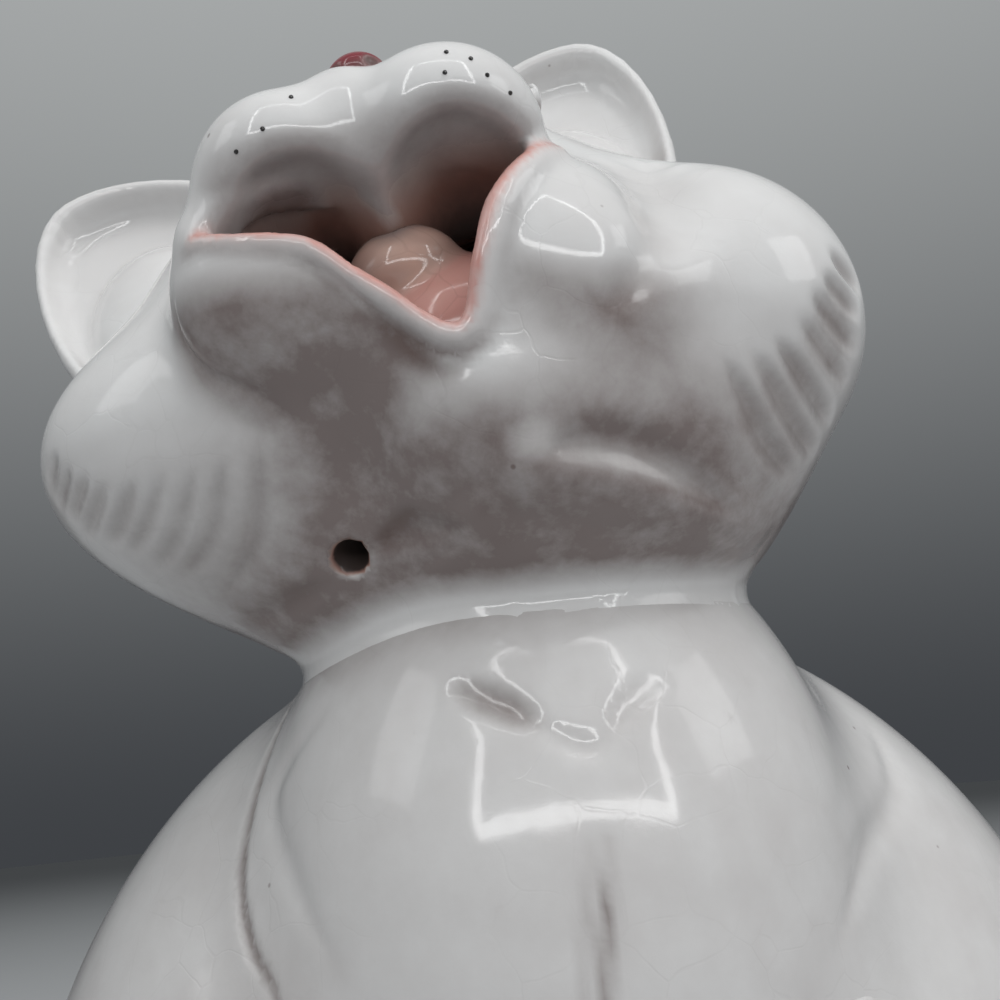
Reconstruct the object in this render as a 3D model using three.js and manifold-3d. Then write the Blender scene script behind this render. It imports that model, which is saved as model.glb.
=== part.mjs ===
// A sitting cat in white-glazed earthenware, head thrown back and mouth wide open.
// Millimetres, +Z up. The cat faces -Y and the origin lies on the ground under the middle of its neck.
import * as THREE from "three";
import { mergeVertices } from "three/addons/utils/BufferGeometryUtils.js";
import Module from "manifold-3d";

const wasm = await Module();
wasm.setup();

// Clay thicknesses, and the clearance left where two pieces meet
const WALL = 5;
const LINING_WALL = 3;
const SLAB_THICKNESS = 7;
const GAP = 0.3;

// Torso: an egg for neck and chest grown out of an egg-shaped trunk
const NECK_HEIGHT = 150;
const NECK_FORWARD = 6;
const NECK_BORE_RADIUS = 15;
const CHEST_PLACE = [0, -2, 108.5];
const CHEST_SIZE = [86, 84, 116];
const CHEST_BLEND = 8;
const TRUNK_PLACE = [2.5, 20, 62.5];
const TRUNK_SIZE = [168, 112, 180];

// Forelegs: two columns side by side under the chest
const FORELEG_SPREAD = 19;
const ANKLE_SPREAD = 16.5;
const SHOULDER_RADIUS = 20;
const SHOULDER_HEIGHT = 84;
const SHOULDER_FORWARD = 16;
const ANKLE_RADIUS = 16;
const ANKLE_HEIGHT = 16;
const ANKLE_FORWARD = 40;
const PAW_WIDTH = 31;
const PAW_LENGTH = 42;
const PAW_HEIGHT = 24;
const PAW_OFFSET = 13;
const PAW_BLEND = 6;
const PAW_FLAT_DEPTH = 1;

// Haunches and hind paws
const HAUNCH_WIDTH = 60;
const HAUNCH_DEPTH = 92;
const HAUNCH_HEIGHT = 88;
const HAUNCH_SPREAD = 54;
const HAUNCH_FORWARD = 6;
const HAUNCH_FLAT_DEPTH = 2;
const HIND_PAW_WIDTH = 32;
const HIND_PAW_LENGTH = 54;
const HIND_PAW_HEIGHT = 26;
const HIND_PAW_OFFSET = 42;

// Tail: a roll that leaves the back of the trunk and lies round its right side
const TAIL_RADIUS = 9.5;
const TAIL_STANDOFF = 7;
const TAIL_ROOT_DEPTH = 22;
const TAIL_START_ANGLE = -30;
const TAIL_END_ANGLE = 96;
const TAIL_STOPS = [0, 0.15, 0.3, 0.5, 0.75, 1];

// Where the head sits on the neck, and how it is turned
const HEAD_RISE = 32;
const HEAD_FORWARD = 6;
const HEAD_SHIFT = 9;
const HEAD_TURN = 8;
const HEAD_TILT = 15;
const HEAD_LIFT = 24;

// Forms of the head, in its own frame: places, then full sizes across, deep and high
const SKULL_PLACE = [-5, 9, 9];
const SKULL_SIZE = [98, 84, 82];
const LEFT_CHEEK_PLACE = [-34, -5, -2];
const LEFT_CHEEK_SIZE = [54.6, 45.5, 36.5];
const LEFT_CHEEK_TILT = 16;
const RIGHT_CHEEK_PLACE = [31, -2.7, -7];
const RIGHT_CHEEK_SIZE = [52, 49, 48.5];
const CHEEK_BLEND = 10;
const MUZZLE_PLACE = [0, -22, -2];
const MUZZLE_SIZE = [48, 44, 40];
const MUZZLE_BLEND = 8;
const LEFT_JOWL_PLACE = [-18.2, -30, 0];
const LEFT_JOWL_SIZE = [27.2, 28, 27.5];
const LEFT_JOWL_BLEND = 5;
const RIGHT_JOWL_PLACE = [17, -22, -11];
const RIGHT_JOWL_SIZE = [28, 28, 28];
const RIGHT_JOWL_BLEND = 10;
const CHIN_PLACE = [2, -18, -23];
const CHIN_SIZE = [26, 26, 20];
const CHIN_BLEND = 8;
const THROAT_PLACE = [10, 6, -23.3];
const THROAT_SIZE = [61.6, 60, 34];
const THROAT_BLEND = 8;
const NAPE_PLACE = [-16.5, 7.7, -16.5];
const NAPE_SIZE = [41, 40, 30];
const NAPE_BLEND = 8;

// Whisker pads, scooped out below, with a ridge between them and a wing to the left corner of the mouth
const PADS_PLACE = [-1.5, -37.5, 6.5];
const PAD_SPREAD = 9.5;
const PAD_SIZE = [25, 28, 20];
const SCOOP_DROP = [0, 2.5, -9.5];
const SCOOP_SIZE = [19, 29, 14];
const RIDGE_ENDS = [[-1.5, -45.2, 11.5], [-1.5, -30, 2.5]];
const RIDGE_RADII = [3.2, 4];
const WING_ENDS = [[-15, -41, 6], [-24, -40, 2.5]];
const WING_RADII = [7, 3.2];

// Nose and eyes
const NOSE_PLACE = [0.6, -43.8, 16];
const NOSE_SIZE = [8.5, 9, 6.5];
const EYE_DIRECTION = [17, -24, 21];
const EYE_SIZE = [19, 10, 12];
const EYE_SINK = 2.6;

// Mouth: the lower lip runs from the left corner down to a point and up to the right corner
const MOUTH_BACK = 8;
const PALATE_RISE = 5;
const LIP = [
  [-24.8, -0.5], [-19.7, -3.9], [-12.3, -6.9], [-7.3, -13.2], [1, -20.9],
  [6.3, -15.8], [10.3, -10.4], [16.8, -3.3], [20.5, 0.5],
];
const LIP_RADIUS = 1.5;
const LIP_END_SINK = 6;
const TONGUE_PLACE = [-2.4, -28.5, -4];
const TONGUE_SIZE = [15.5, 14, 13];
const TONGUE_ROOT_PLACE = [-0.5, -24.5, -13];
const TONGUE_ROOT_SIZE = [19, 17, 17];

// Ears: rounded triangles with a cupped front, drawn outward and up from the middle of the skull
const EAR_TIP = [50.5, 64.5];
const EAR_TIP_ROUND = 13;
const EAR_OUTER_ROOT = [42, 3];
const EAR_OUTER_BOW = [17, 18];
const EAR_INNER_ROOT = [4, 35];
const EAR_INNER_BOW = [13, 22];
const EAR_THICKNESS = 12;
const EAR_EDGE = 4;
const EAR_FORWARD = 13;
const EAR_RIM = 5;
const EAR_CUP_DEPTH = 6;
const EAR_LOBE_SIZE = [25, 10, 36];
const EAR_LOBE_PLACE = [37, 30];
const RIGHT_EAR_INSET = 4;
const RIGHT_EAR_DROP = 6;

// Vent hole in the crease between the left cheek and the neck
const VENT_RADIUS = 2.4;
const VENT_DIRECTION = [-21.6, -6.6, -24.6];

// Tessellation: how finely skins are divided, and a length that reaches past everything
const TORSO_DETAIL = 8;
const HEAD_DETAIL = 9;
const HOLLOW_DETAIL = 4;
const LIMB_DETAIL = 6;
const SPINE_SHARE = 0.35;
const TORSO_SPINE_SHARE = 1.6;
const RIDGE_SPINE_SHARE = 0.8;
const EGG_SEGMENTS = 16;
const HAUNCH_SEGMENTS = 22;
const RING_SHARE = 0.6;
const HOLE_SEGMENTS = 16;
const MOUTH_STEPS = 20;
const PALATE_STEPS = 10;
const RIDGE_DETAIL = 3;
const LIP_STEPS = 28;
const LIP_STATIONS = 14;
const BEAD_SEGMENTS = 4;
const EAR_STEPS = 5;
const EAR_EDGE_STEPS = 3;
const TAIL_STEPS = 20;
const TAIL_SEGMENTS = 6;
const FINE = 1e-4;
const FAR = 400;

const Y = new THREE.Vector3(0, 1, 0);
const radians = THREE.MathUtils.degToRad;
const vector = (numbers) => new THREE.Vector3(...numbers);

// Distance to an egg: a ball with three sizes, rolled about the axis that runs front to back.
function egg(place, size, roll = 0) {
  const centre = vector(place);
  const half = vector(size).multiplyScalar(0.5);
  return (point) => {
    const local = point.clone().sub(centre).applyAxisAngle(Y, -radians(roll));
    const reach = local.divide(half).length();
    const slope = local.divide(half).length();
    return (reach * (reach - 1)) / Math.max(slope, FINE);
  };
}

// Distance to a limb that tapers between two round ends.
function limb(start, end, startRadius, endRadius) {
  const line = new THREE.Line3(vector(start), vector(end));
  const nearest = new THREE.Vector3();
  return (point) => {
    const along = line.closestPointToPointParameter(point, true);
    const radius = THREE.MathUtils.lerp(startRadius, endRadius, along);
    return line.at(along, nearest).distanceTo(point) - radius;
  };
}

// Two forms joined by a fillet of about the given width.
function melt(first, second, width) {
  return (point) => {
    const a = first(point);
    const b = second(point);
    const overlap = Math.max(width - Math.abs(a - b), 0) / width;
    return Math.min(a, b) - (overlap * overlap * width) / 4;
  };
}

const grown = (form, amount) => (point) => form(point) - amount;

// The point where a ray from inside a form comes out of it.
function surfacePoint(form, inside, direction) {
  const ray = new THREE.Ray(inside, direction.clone().normalize());
  const point = new THREE.Vector3();
  let near = 0;
  let far = FAR;
  while (far - near > FINE) {
    const middle = (near + far) / 2;
    if (form(ray.at(middle, point)) < 0) near = middle;
    else far = middle;
  }
  return point;
}

const bare = (geometry) => mergeVertices(geometry.deleteAttribute("normal").deleteAttribute("uv"));

// A skin of even triangles drawn out from the spine of a form to its surface.
function sculpt(form, heart, spine, detail) {
  const skin = bare(new THREE.IcosahedronGeometry(1, detail));
  const corners = skin.attributes.position;
  const axis = spine.clone().normalize();
  for (let i = 0; i < corners.count; i++) {
    const direction = new THREE.Vector3().fromBufferAttribute(corners, i);
    const inside = heart.clone().addScaledVector(spine, direction.dot(axis));
    corners.setXYZ(i, ...surfacePoint(form, inside, direction));
  }
  return skin;
}

function eggSkin(place, size, turn = new THREE.Euler(), segments = EGG_SEGMENTS) {
  return new THREE.SphereGeometry(0.5, segments, Math.round(segments * RING_SHARE))
    .scale(...size)
    .applyQuaternion(new THREE.Quaternion().setFromEuler(turn))
    .translate(...place);
}

function solid(geometry) {
  const merged = bare(geometry);
  return new wasm.Manifold(
    new wasm.Mesh({
      numProp: 3,
      vertProperties: merged.attributes.position.array,
      triVerts: new Uint32Array(merged.index.array),
    }),
  );
}

function piece(name, body, material) {
  const { vertProperties, triVerts } = body.getMesh();
  const geometry = new THREE.BufferGeometry()
    .setAttribute("position", new THREE.BufferAttribute(vertProperties, 3))
    .setIndex(new THREE.BufferAttribute(triVerts, 1));
  geometry.computeVertexNormals();
  const mesh = new THREE.Mesh(geometry, material);
  mesh.name = name;
  return mesh;
}

// A block that fills everything below a height, or left or right of the middle.
const below = (height) => solid(new THREE.BoxGeometry(FAR, FAR, FAR).translate(0, 0, height - FAR / 2));
const beside = (side, edge) =>
  solid(new THREE.BoxGeometry(FAR, FAR, FAR).translate(side * (edge + FAR / 2), 0, 0));
const bigger = (size, amount) => size.map((length) => length + 2 * amount);

const glaze = (color, roughness) => new THREE.MeshStandardMaterial({ color, roughness, metalness: 0 });
const whiteGlaze = () => glaze(0xdcdcd8, 0.12);
const stainedGlaze = () => glaze(0x8d6f66, 0.25);
const pinkGlaze = () => glaze(0xd2a89c, 0.2);
const redGlaze = () => glaze(0x7a1f2b, 0.25);
const darkGlaze = () => glaze(0x2b2a2c, 0.15);
const bareClay = () => glaze(0xcdbfae, 0.85);

// Frame of the head, which every piece of the face is built in
const head = new THREE.Group();
head.position.set(-HEAD_SHIFT, -NECK_FORWARD - HEAD_FORWARD, NECK_HEIGHT + HEAD_RISE);
head.rotation.set(-radians(HEAD_LIFT), -radians(HEAD_TILT), -radians(HEAD_TURN), "ZYX");
head.updateMatrix();
const toHead = head.matrix.clone().invert();

// The head's clay, without whisker pads, ears or mouth
function headForm() {
  let form = egg(SKULL_PLACE, SKULL_SIZE);
  form = melt(form, egg(LEFT_CHEEK_PLACE, LEFT_CHEEK_SIZE, LEFT_CHEEK_TILT), CHEEK_BLEND);
  form = melt(form, egg(RIGHT_CHEEK_PLACE, RIGHT_CHEEK_SIZE), CHEEK_BLEND);
  form = melt(form, egg(MUZZLE_PLACE, MUZZLE_SIZE), MUZZLE_BLEND);
  form = melt(form, egg(LEFT_JOWL_PLACE, LEFT_JOWL_SIZE), LEFT_JOWL_BLEND);
  form = melt(form, egg(RIGHT_JOWL_PLACE, RIGHT_JOWL_SIZE), RIGHT_JOWL_BLEND);
  form = melt(form, egg(CHIN_PLACE, CHIN_SIZE), CHIN_BLEND);
  form = melt(form, egg(THROAT_PLACE, THROAT_SIZE), THROAT_BLEND);
  return melt(form, egg(NAPE_PLACE, NAPE_SIZE), NAPE_BLEND);
}

function forelegForm(side) {
  const x = side * ANKLE_SPREAD;
  const leg = limb(
    [side * FORELEG_SPREAD, -SHOULDER_FORWARD, SHOULDER_HEIGHT],
    [x, -ANKLE_FORWARD, ANKLE_HEIGHT],
    SHOULDER_RADIUS,
    ANKLE_RADIUS,
  );
  const pawPlace = [x, -ANKLE_FORWARD - PAW_OFFSET, PAW_HEIGHT / 2 - PAW_FLAT_DEPTH];
  const paw = egg(pawPlace, [PAW_WIDTH, PAW_LENGTH, PAW_HEIGHT]);
  return melt(leg, paw, PAW_BLEND);
}

const headClay = headForm();
const headHeart = vector([0, 0, 0]);
const headSpine = vector(RIGHT_CHEEK_PLACE).sub(vector(LEFT_CHEEK_PLACE)).multiplyScalar(SPINE_SHARE);
const headSkin = (growth, detail = HEAD_DETAIL) =>
  sculpt(grown(headClay, growth), headHeart, headSpine, detail);

const torsoClay = melt(egg(CHEST_PLACE, CHEST_SIZE), egg(TRUNK_PLACE, TRUNK_SIZE), CHEST_BLEND);
const torsoHeart = vector(CHEST_PLACE).lerp(vector(TRUNK_PLACE), 0.5);
const torsoSpine = vector(CHEST_PLACE).sub(torsoHeart).multiplyScalar(TORSO_SPINE_SHARE);
const torsoSkin = (growth, detail = TORSO_DETAIL) =>
  sculpt(grown(torsoClay, growth), torsoHeart, torsoSpine, detail);

const headSpace = solid(headSkin(GAP));
const headSpaceOnTorso = solid(headSkin(GAP).applyMatrix4(head.matrix));
const torsoSpace = solid(torsoSkin(GAP));

// The lower lip's line from corner to corner, moved outwards by a growth
function lipPoints(growth, steps) {
  const lip = new THREE.SplineCurve(LIP.map(([x, z]) => new THREE.Vector2(x, z)));
  return Array.from({ length: steps + 1 }, (_, step) => {
    const tangent = lip.getTangentAt(step / steps);
    const outward = new THREE.Vector2(tangent.y, -tangent.x);
    if (step === 0) outward.set(-1, 0);
    if (step === steps) outward.set(1, 0);
    return lip.getPointAt(step / steps).addScaledVector(outward, growth);
  });
}

// A block with the mouth's outline, from the back of the mouth out past the face
function mouthBlock(growth) {
  const lip = lipPoints(growth, MOUTH_STEPS);
  const [left, right] = [lip.at(0), lip.at(-1)];
  const shape = new THREE.Shape(lip);
  shape.quadraticCurveTo((left.x + right.x) / 2, 2 * (PALATE_RISE + growth), left.x, left.y);
  const block = new THREE.ExtrudeGeometry(shape, {
    depth: FAR,
    bevelEnabled: false,
    curveSegments: PALATE_STEPS,
  });
  return solid(block.rotateX(Math.PI / 2).translate(0, growth - MOUTH_BACK, 0));
}

// The rolled lower lip, a bead that follows the mouth's outline over the jaw
function lipBead(growth) {
  const onFace = lipPoints(0, LIP_STATIONS).map(({ x, y }) =>
    surfacePoint(headClay, new THREE.Vector3(x, -MOUTH_BACK, y), Y.clone().negate()),
  );
  [onFace.at(0), onFace.at(-1)].forEach((end) => end.addScaledVector(Y, LIP_END_SINK));
  const section = new THREE.Shape().absarc(0, 0, LIP_RADIUS + growth, 0, 2 * Math.PI);
  return solid(
    new THREE.ExtrudeGeometry(section, {
      extrudePath: new THREE.CatmullRomCurve3(onFace),
      steps: LIP_STEPS,
      curveSegments: BEAD_SEGMENTS,
      bevelEnabled: false,
    }),
  );
}

// A solid limb between two round ends
function limbSkin([start, end], [startRadius, endRadius]) {
  const heart = vector(start).lerp(vector(end), 0.5);
  const spine = vector(end).sub(heart).multiplyScalar(RIDGE_SPINE_SHARE);
  return solid(sculpt(limb(start, end, startRadius, endRadius), heart, spine, RIDGE_DETAIL));
}

function pads(growth) {
  const thicker = (radii) => radii.map((radius) => radius + growth);
  let body = limbSkin(WING_ENDS, thicker(WING_RADII));
  const places = [-1, 1].map((side) => vector(PADS_PLACE).add(vector([side * PAD_SPREAD, 0, 0])));
  for (const place of places) body = body.add(solid(eggSkin(place, bigger(PAD_SIZE, growth))));
  for (const place of places) {
    const scoop = place.clone().add(vector(SCOOP_DROP));
    body = body.subtract(solid(eggSkin(scoop, bigger(SCOOP_SIZE, -growth))));
  }
  return body.add(limbSkin(RIDGE_ENDS, thicker(RIDGE_RADII)));
}

// A straight hole from the middle of the head out through its wall
function ventHole() {
  const outward = vector(VENT_DIRECTION).normalize();
  return solid(
    new THREE.CylinderGeometry(VENT_RADIUS, VENT_RADIUS, FAR, HOLE_SEGMENTS)
      .translate(0, FAR / 2, 0)
      .applyQuaternion(new THREE.Quaternion().setFromUnitVectors(Y, outward)),
  );
}

// The bore that joins the hollow of the neck to the hollow of the head
function neckBore() {
  const bore = new THREE.CylinderGeometry(NECK_BORE_RADIUS, NECK_BORE_RADIUS, 2 * HEAD_RISE, HOLE_SEGMENTS)
    .rotateX(Math.PI / 2)
    .translate(0, -NECK_FORWARD, NECK_HEIGHT);
  return solid(bore.applyMatrix4(toHead));
}

function headShell() {
  return solid(headSkin(0))
    .subtract(solid(headSkin(-WALL, HOLLOW_DETAIL)))
    .subtract(mouthBlock(0))
    .subtract(ventHole())
    .subtract(neckBore())
    .add(pads(0))
    .add(lipBead(0));
}

function mouthLining() {
  return mouthBlock(LINING_WALL)
    .subtract(mouthBlock(0))
    .intersect(solid(headSkin(-WALL - GAP, HOLLOW_DETAIL)))
    .subtract(pads(GAP));
}

function tongue() {
  return solid(eggSkin(TONGUE_PLACE, TONGUE_SIZE))
    .add(solid(eggSkin(TONGUE_ROOT_PLACE, TONGUE_ROOT_SIZE)))
    .intersect(mouthBlock(-GAP))
    .subtract(pads(GAP))
    .subtract(lipBead(GAP));
}

function nose() {
  return solid(eggSkin(NOSE_PLACE, NOSE_SIZE)).subtract(pads(GAP)).subtract(headSpace);
}

function eye(side) {
  const [x, y, z] = EYE_DIRECTION;
  const outward = new THREE.Vector3(side * x, y, z).normalize();
  const place = surfacePoint(headClay, headHeart, outward).addScaledVector(outward, -EYE_SINK);
  const turn = new THREE.Quaternion().setFromUnitVectors(Y, outward);
  return solid(eggSkin(place, EYE_SIZE, new THREE.Euler().setFromQuaternion(turn))).subtract(headSpace);
}

// Outline of an ear seen from the front, drawn in from its edge by a margin
function earOutline(side, margin) {
  const middle = new THREE.Vector2(...EAR_LOBE_PLACE);
  const drawnIn = (place) => {
    const corner = new THREE.Vector2(...place);
    return corner.lerp(middle, margin / corner.distanceTo(middle));
  };
  const [tip, outer, inner] = [EAR_TIP, EAR_OUTER_ROOT, EAR_INNER_ROOT].map(drawnIn);
  const along = tip.clone().sub(middle).normalize();
  const across = new THREE.Vector2(along.y, -along.x).multiplyScalar(EAR_TIP_ROUND - margin / 2);
  const points = [
    new THREE.Vector2(outer.x + EAR_OUTER_BOW[0], outer.y + EAR_OUTER_BOW[1]),
    tip.clone().add(across),
    tip,
    tip.clone().sub(across),
    new THREE.Vector2(inner.x + EAR_INNER_BOW[0], inner.y + EAR_INNER_BOW[1]),
    inner,
  ].map(({ x, y }) => [side * x, y]);
  return new THREE.Shape()
    .moveTo(side * outer.x, outer.y)
    .bezierCurveTo(...points.slice(0, 3).flat())
    .bezierCurveTo(...points.slice(3).flat());
}

// A slab with an ear's outline and rounded edges, set back from the ear's own front
function earSlab(side, margin, setBack, thickness) {
  const slab = new THREE.ExtrudeGeometry(earOutline(side, margin + EAR_EDGE), {
    depth: thickness - 2 * EAR_EDGE,
    bevelThickness: EAR_EDGE,
    bevelSize: EAR_EDGE,
    bevelSegments: EAR_EDGE_STEPS,
    curveSegments: EAR_STEPS,
  });
  return slab.rotateX(Math.PI / 2).translate(0, setBack + thickness - EAR_EDGE, 0);
}

function ear(side) {
  const [x, y, z] = SKULL_PLACE;
  const [inset, drop] = side > 0 ? [RIGHT_EAR_INSET, RIGHT_EAR_DROP] : [0, 0];
  const place = [x - inset, y - EAR_FORWARD, z - drop];
  const [lobeX, lobeZ] = EAR_LOBE_PLACE;
  const slab = solid(earSlab(side, 0, 0, EAR_THICKNESS).translate(...place));
  const cup = solid(earSlab(side, EAR_RIM, -EAR_CUP_DEPTH, 2 * EAR_CUP_DEPTH).translate(...place));
  const lobe = solid(eggSkin([side * lobeX, EAR_CUP_DEPTH, lobeZ], EAR_LOBE_SIZE).translate(...place));
  return slab.subtract(cup).add(lobe).subtract(headSpace);
}

function torsoShell() {
  return solid(torsoSkin(0))
    .subtract(solid(torsoSkin(-WALL, HOLLOW_DETAIL)))
    .subtract(headSpaceOnTorso)
    .subtract(below(SLAB_THICKNESS + GAP));
}

function baseSlab() {
  return solid(torsoSkin(0)).subtract(below(0)).intersect(below(SLAB_THICKNESS));
}

function forelegSkin(side, growth) {
  const heart = new THREE.Vector3(
    side * FORELEG_SPREAD,
    -(SHOULDER_FORWARD + ANKLE_FORWARD) / 2,
    SHOULDER_HEIGHT / 2,
  );
  const spine = vector([0, (ANKLE_FORWARD - SHOULDER_FORWARD) / 2, SHOULDER_HEIGHT / 2 - ANKLE_HEIGHT]);
  return solid(sculpt(grown(forelegForm(side), growth), heart, spine, LIMB_DETAIL));
}

function foreleg(side) {
  return forelegSkin(side, 0)
    .subtract(torsoSpace)
    .subtract(below(0))
    .subtract(beside(-side, -GAP / 2));
}

function haunchSkin(side, growth) {
  const across = side * HAUNCH_SPREAD;
  const place = [across, -HAUNCH_FORWARD, HAUNCH_HEIGHT / 2 - HAUNCH_FLAT_DEPTH];
  const size = bigger([HAUNCH_WIDTH, HAUNCH_DEPTH, HAUNCH_HEIGHT], growth);
  return solid(eggSkin(place, size, new THREE.Euler(), HAUNCH_SEGMENTS));
}

function haunch(side) {
  return haunchSkin(side, 0).subtract(torsoSpace).subtract(forelegSkin(side, GAP)).subtract(below(0));
}

function hindPaw(side) {
  const place = [
    side * HAUNCH_SPREAD,
    -HAUNCH_FORWARD - HIND_PAW_OFFSET,
    HIND_PAW_HEIGHT / 2 - PAW_FLAT_DEPTH,
  ];
  return solid(eggSkin(place, [HIND_PAW_WIDTH, HIND_PAW_LENGTH, HIND_PAW_HEIGHT]))
    .subtract(haunchSkin(side, GAP))
    .subtract(torsoSpace)
    .subtract(forelegSkin(side, GAP))
    .subtract(below(0));
}

// The tail keeps a set distance from the trunk's foot as it runs round it
function tail() {
  const foot = vector(TRUNK_PLACE).setZ(TAIL_RADIUS);
  const route = TAIL_STOPS.map((share) => {
    const angle = radians(THREE.MathUtils.lerp(TAIL_START_ANGLE, TAIL_END_ANGLE, share));
    const outward = new THREE.Vector3(Math.sin(angle), Math.cos(angle), 0);
    const standoff = share > 0 ? TAIL_STANDOFF : -TAIL_ROOT_DEPTH;
    return surfacePoint(torsoClay, foot, outward).addScaledVector(outward, standoff);
  });
  const section = new THREE.Shape().absarc(0, 0, TAIL_RADIUS, 0, 2 * Math.PI);
  const roll = new THREE.ExtrudeGeometry(section, {
    extrudePath: new THREE.CatmullRomCurve3(route),
    steps: TAIL_STEPS,
    curveSegments: TAIL_SEGMENTS,
    bevelEnabled: false,
  });
  const tip = eggSkin(route.at(-1), bigger([0, 0, 0], TAIL_RADIUS));
  return solid(roll)
    .add(solid(tip))
    .subtract(torsoSpace)
    .subtract(haunchSkin(1, GAP))
    .subtract(haunchSkin(-1, GAP))
    .subtract(below(0));
}

const cat = new THREE.Group();
head.add(
  piece("head_shell", headShell(), whiteGlaze()),
  piece("mouth_lining", mouthLining(), stainedGlaze()),
  piece("tongue", tongue(), pinkGlaze()),
  piece("nose_pad", nose(), redGlaze()),
  piece("left_eye", eye(-1), darkGlaze()),
  piece("right_eye", eye(1), darkGlaze()),
  piece("left_ear", ear(-1), whiteGlaze()),
  piece("right_ear", ear(1), whiteGlaze()),
);
cat.add(
  piece("torso_shell", torsoShell(), whiteGlaze()),
  piece("base_slab", baseSlab(), bareClay()),
  piece("left_foreleg", foreleg(-1), whiteGlaze()),
  piece("right_foreleg", foreleg(1), whiteGlaze()),
  piece("left_haunch", haunch(-1), whiteGlaze()),
  piece("right_haunch", haunch(1), whiteGlaze()),
  piece("left_hind_paw", hindPaw(-1), whiteGlaze()),
  piece("right_hind_paw", hindPaw(1), whiteGlaze()),
  piece("tail", tail(), whiteGlaze()),
  head,
);

export default cat;
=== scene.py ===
"""Looks of a sitting cat in white crackle-glazed earthenware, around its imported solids.

The clay forms are worked out as signed distances in millimetres and skinned to meshes in metres.
The cat faces -Y with +Z up. Left and right are as seen from the front, with left at -X.
"""

import logging
import math
from dataclasses import dataclass, field, replace
from enum import Enum
from typing import Any, Callable, Optional, Sequence, Union

import bpy
import numpy as np
from mathutils import Matrix, Vector

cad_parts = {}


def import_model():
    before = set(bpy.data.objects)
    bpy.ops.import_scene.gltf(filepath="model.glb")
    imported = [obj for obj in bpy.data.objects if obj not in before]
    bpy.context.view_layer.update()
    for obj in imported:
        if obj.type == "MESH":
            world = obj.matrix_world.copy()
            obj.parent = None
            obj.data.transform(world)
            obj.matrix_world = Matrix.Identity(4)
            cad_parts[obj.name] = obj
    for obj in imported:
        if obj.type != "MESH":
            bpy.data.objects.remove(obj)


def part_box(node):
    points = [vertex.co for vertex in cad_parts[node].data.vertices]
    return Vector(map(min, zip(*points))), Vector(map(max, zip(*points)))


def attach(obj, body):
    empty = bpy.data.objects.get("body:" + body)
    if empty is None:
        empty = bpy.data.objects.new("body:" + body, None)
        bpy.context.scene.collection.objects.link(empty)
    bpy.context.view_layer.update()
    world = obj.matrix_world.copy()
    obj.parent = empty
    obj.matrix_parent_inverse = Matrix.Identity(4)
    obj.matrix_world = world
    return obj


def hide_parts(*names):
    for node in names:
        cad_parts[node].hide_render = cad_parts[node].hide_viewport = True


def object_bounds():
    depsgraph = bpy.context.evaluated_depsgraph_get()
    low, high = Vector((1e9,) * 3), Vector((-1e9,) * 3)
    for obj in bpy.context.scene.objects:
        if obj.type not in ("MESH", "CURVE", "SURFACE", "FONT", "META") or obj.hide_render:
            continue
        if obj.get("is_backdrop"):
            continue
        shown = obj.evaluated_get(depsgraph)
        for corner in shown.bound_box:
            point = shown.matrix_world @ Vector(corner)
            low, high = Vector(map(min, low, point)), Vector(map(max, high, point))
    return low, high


LOG = logging.getLogger("cat")

Values = np.ndarray
Points = np.ndarray
Pair = tuple[float, float]
Triple = tuple[float, float, float]
Term = Union["Wire", float]

MILLIMETRE = 0.001
FAR = 400.0
TINY = 1e-6
CHUNK = 150_000
PRESS_REACH = 4.0
GROOVE_REACH = 2.6
LANDING_ROUNDS = 25
LANDING_STEP = 4.0
HALVINGS = 30
MARK_FADE = 1.2
# How the painted shade and grime of hollows is measured, and the slope at which painted underside shade is
# full
HOLLOW_REACHES = ((3.0, 0.3), (9.0, 0.4), (22.0, 0.3))
HOLLOW_GAIN = 1.1
HOLLOW_FLOOR = 0.15
UNDERSIDE_SLOPE = 0.45
CLEARANCE = 0.1
FILLET_SINK = 0.25
FILLET_DEPTH = 2.0
FILLET_REACH = 1.6
BODY = "root"


class Slot(Enum):
    """The record's material slots."""

    WHITE = "white_glaze"
    MOUTH = "mouth_glaze"
    TONGUE = "tongue_glaze"
    NOSE = "nose_glaze"
    EYE = "eye_glaze"
    CLAY = "bare_clay"


class Side(Enum):
    """A side of the cat as seen from the front, with its sign along X."""

    LEFT = -1
    RIGHT = 1

    @property
    def word(self) -> str:
        """Give the side's name as the nodes spell it."""
        return self.name.lower()


# Clay forms

def row(numbers: Sequence[float]) -> Points:
    """Make one row of numbers for the distance functions."""
    return np.asarray(numbers, np.float32)


def unit(values: Values) -> Values:
    """Keep values between 0 and 1."""
    return np.clip(values, 0.0, 1.0)


def ramp(values: Values, start: float, end: float) -> Values:
    """Go straight from 0 at one value to 1 at another."""
    return unit((values - start) / (end - start))


def turned(axis: int, degrees: float) -> Points:
    """Make the matrix of a turn about X, Y or Z.

    Args:
        axis: 0, 1 or 2 for X, Y or Z.
        degrees: The angle of the turn.

    Returns:
        A matrix whose columns are the turned axes.
    """
    return np.array(Matrix.Rotation(math.radians(degrees), 3, "XYZ"[axis]), np.float32)


def blend(first: Values, second: Values, width: float) -> Values:
    """Take the smaller of two distances, with a fillet of the given width."""
    overlap = np.maximum(width - np.abs(first - second), 0.0) / width
    return np.minimum(first, second) - overlap * overlap * (width / 4.0)


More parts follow.
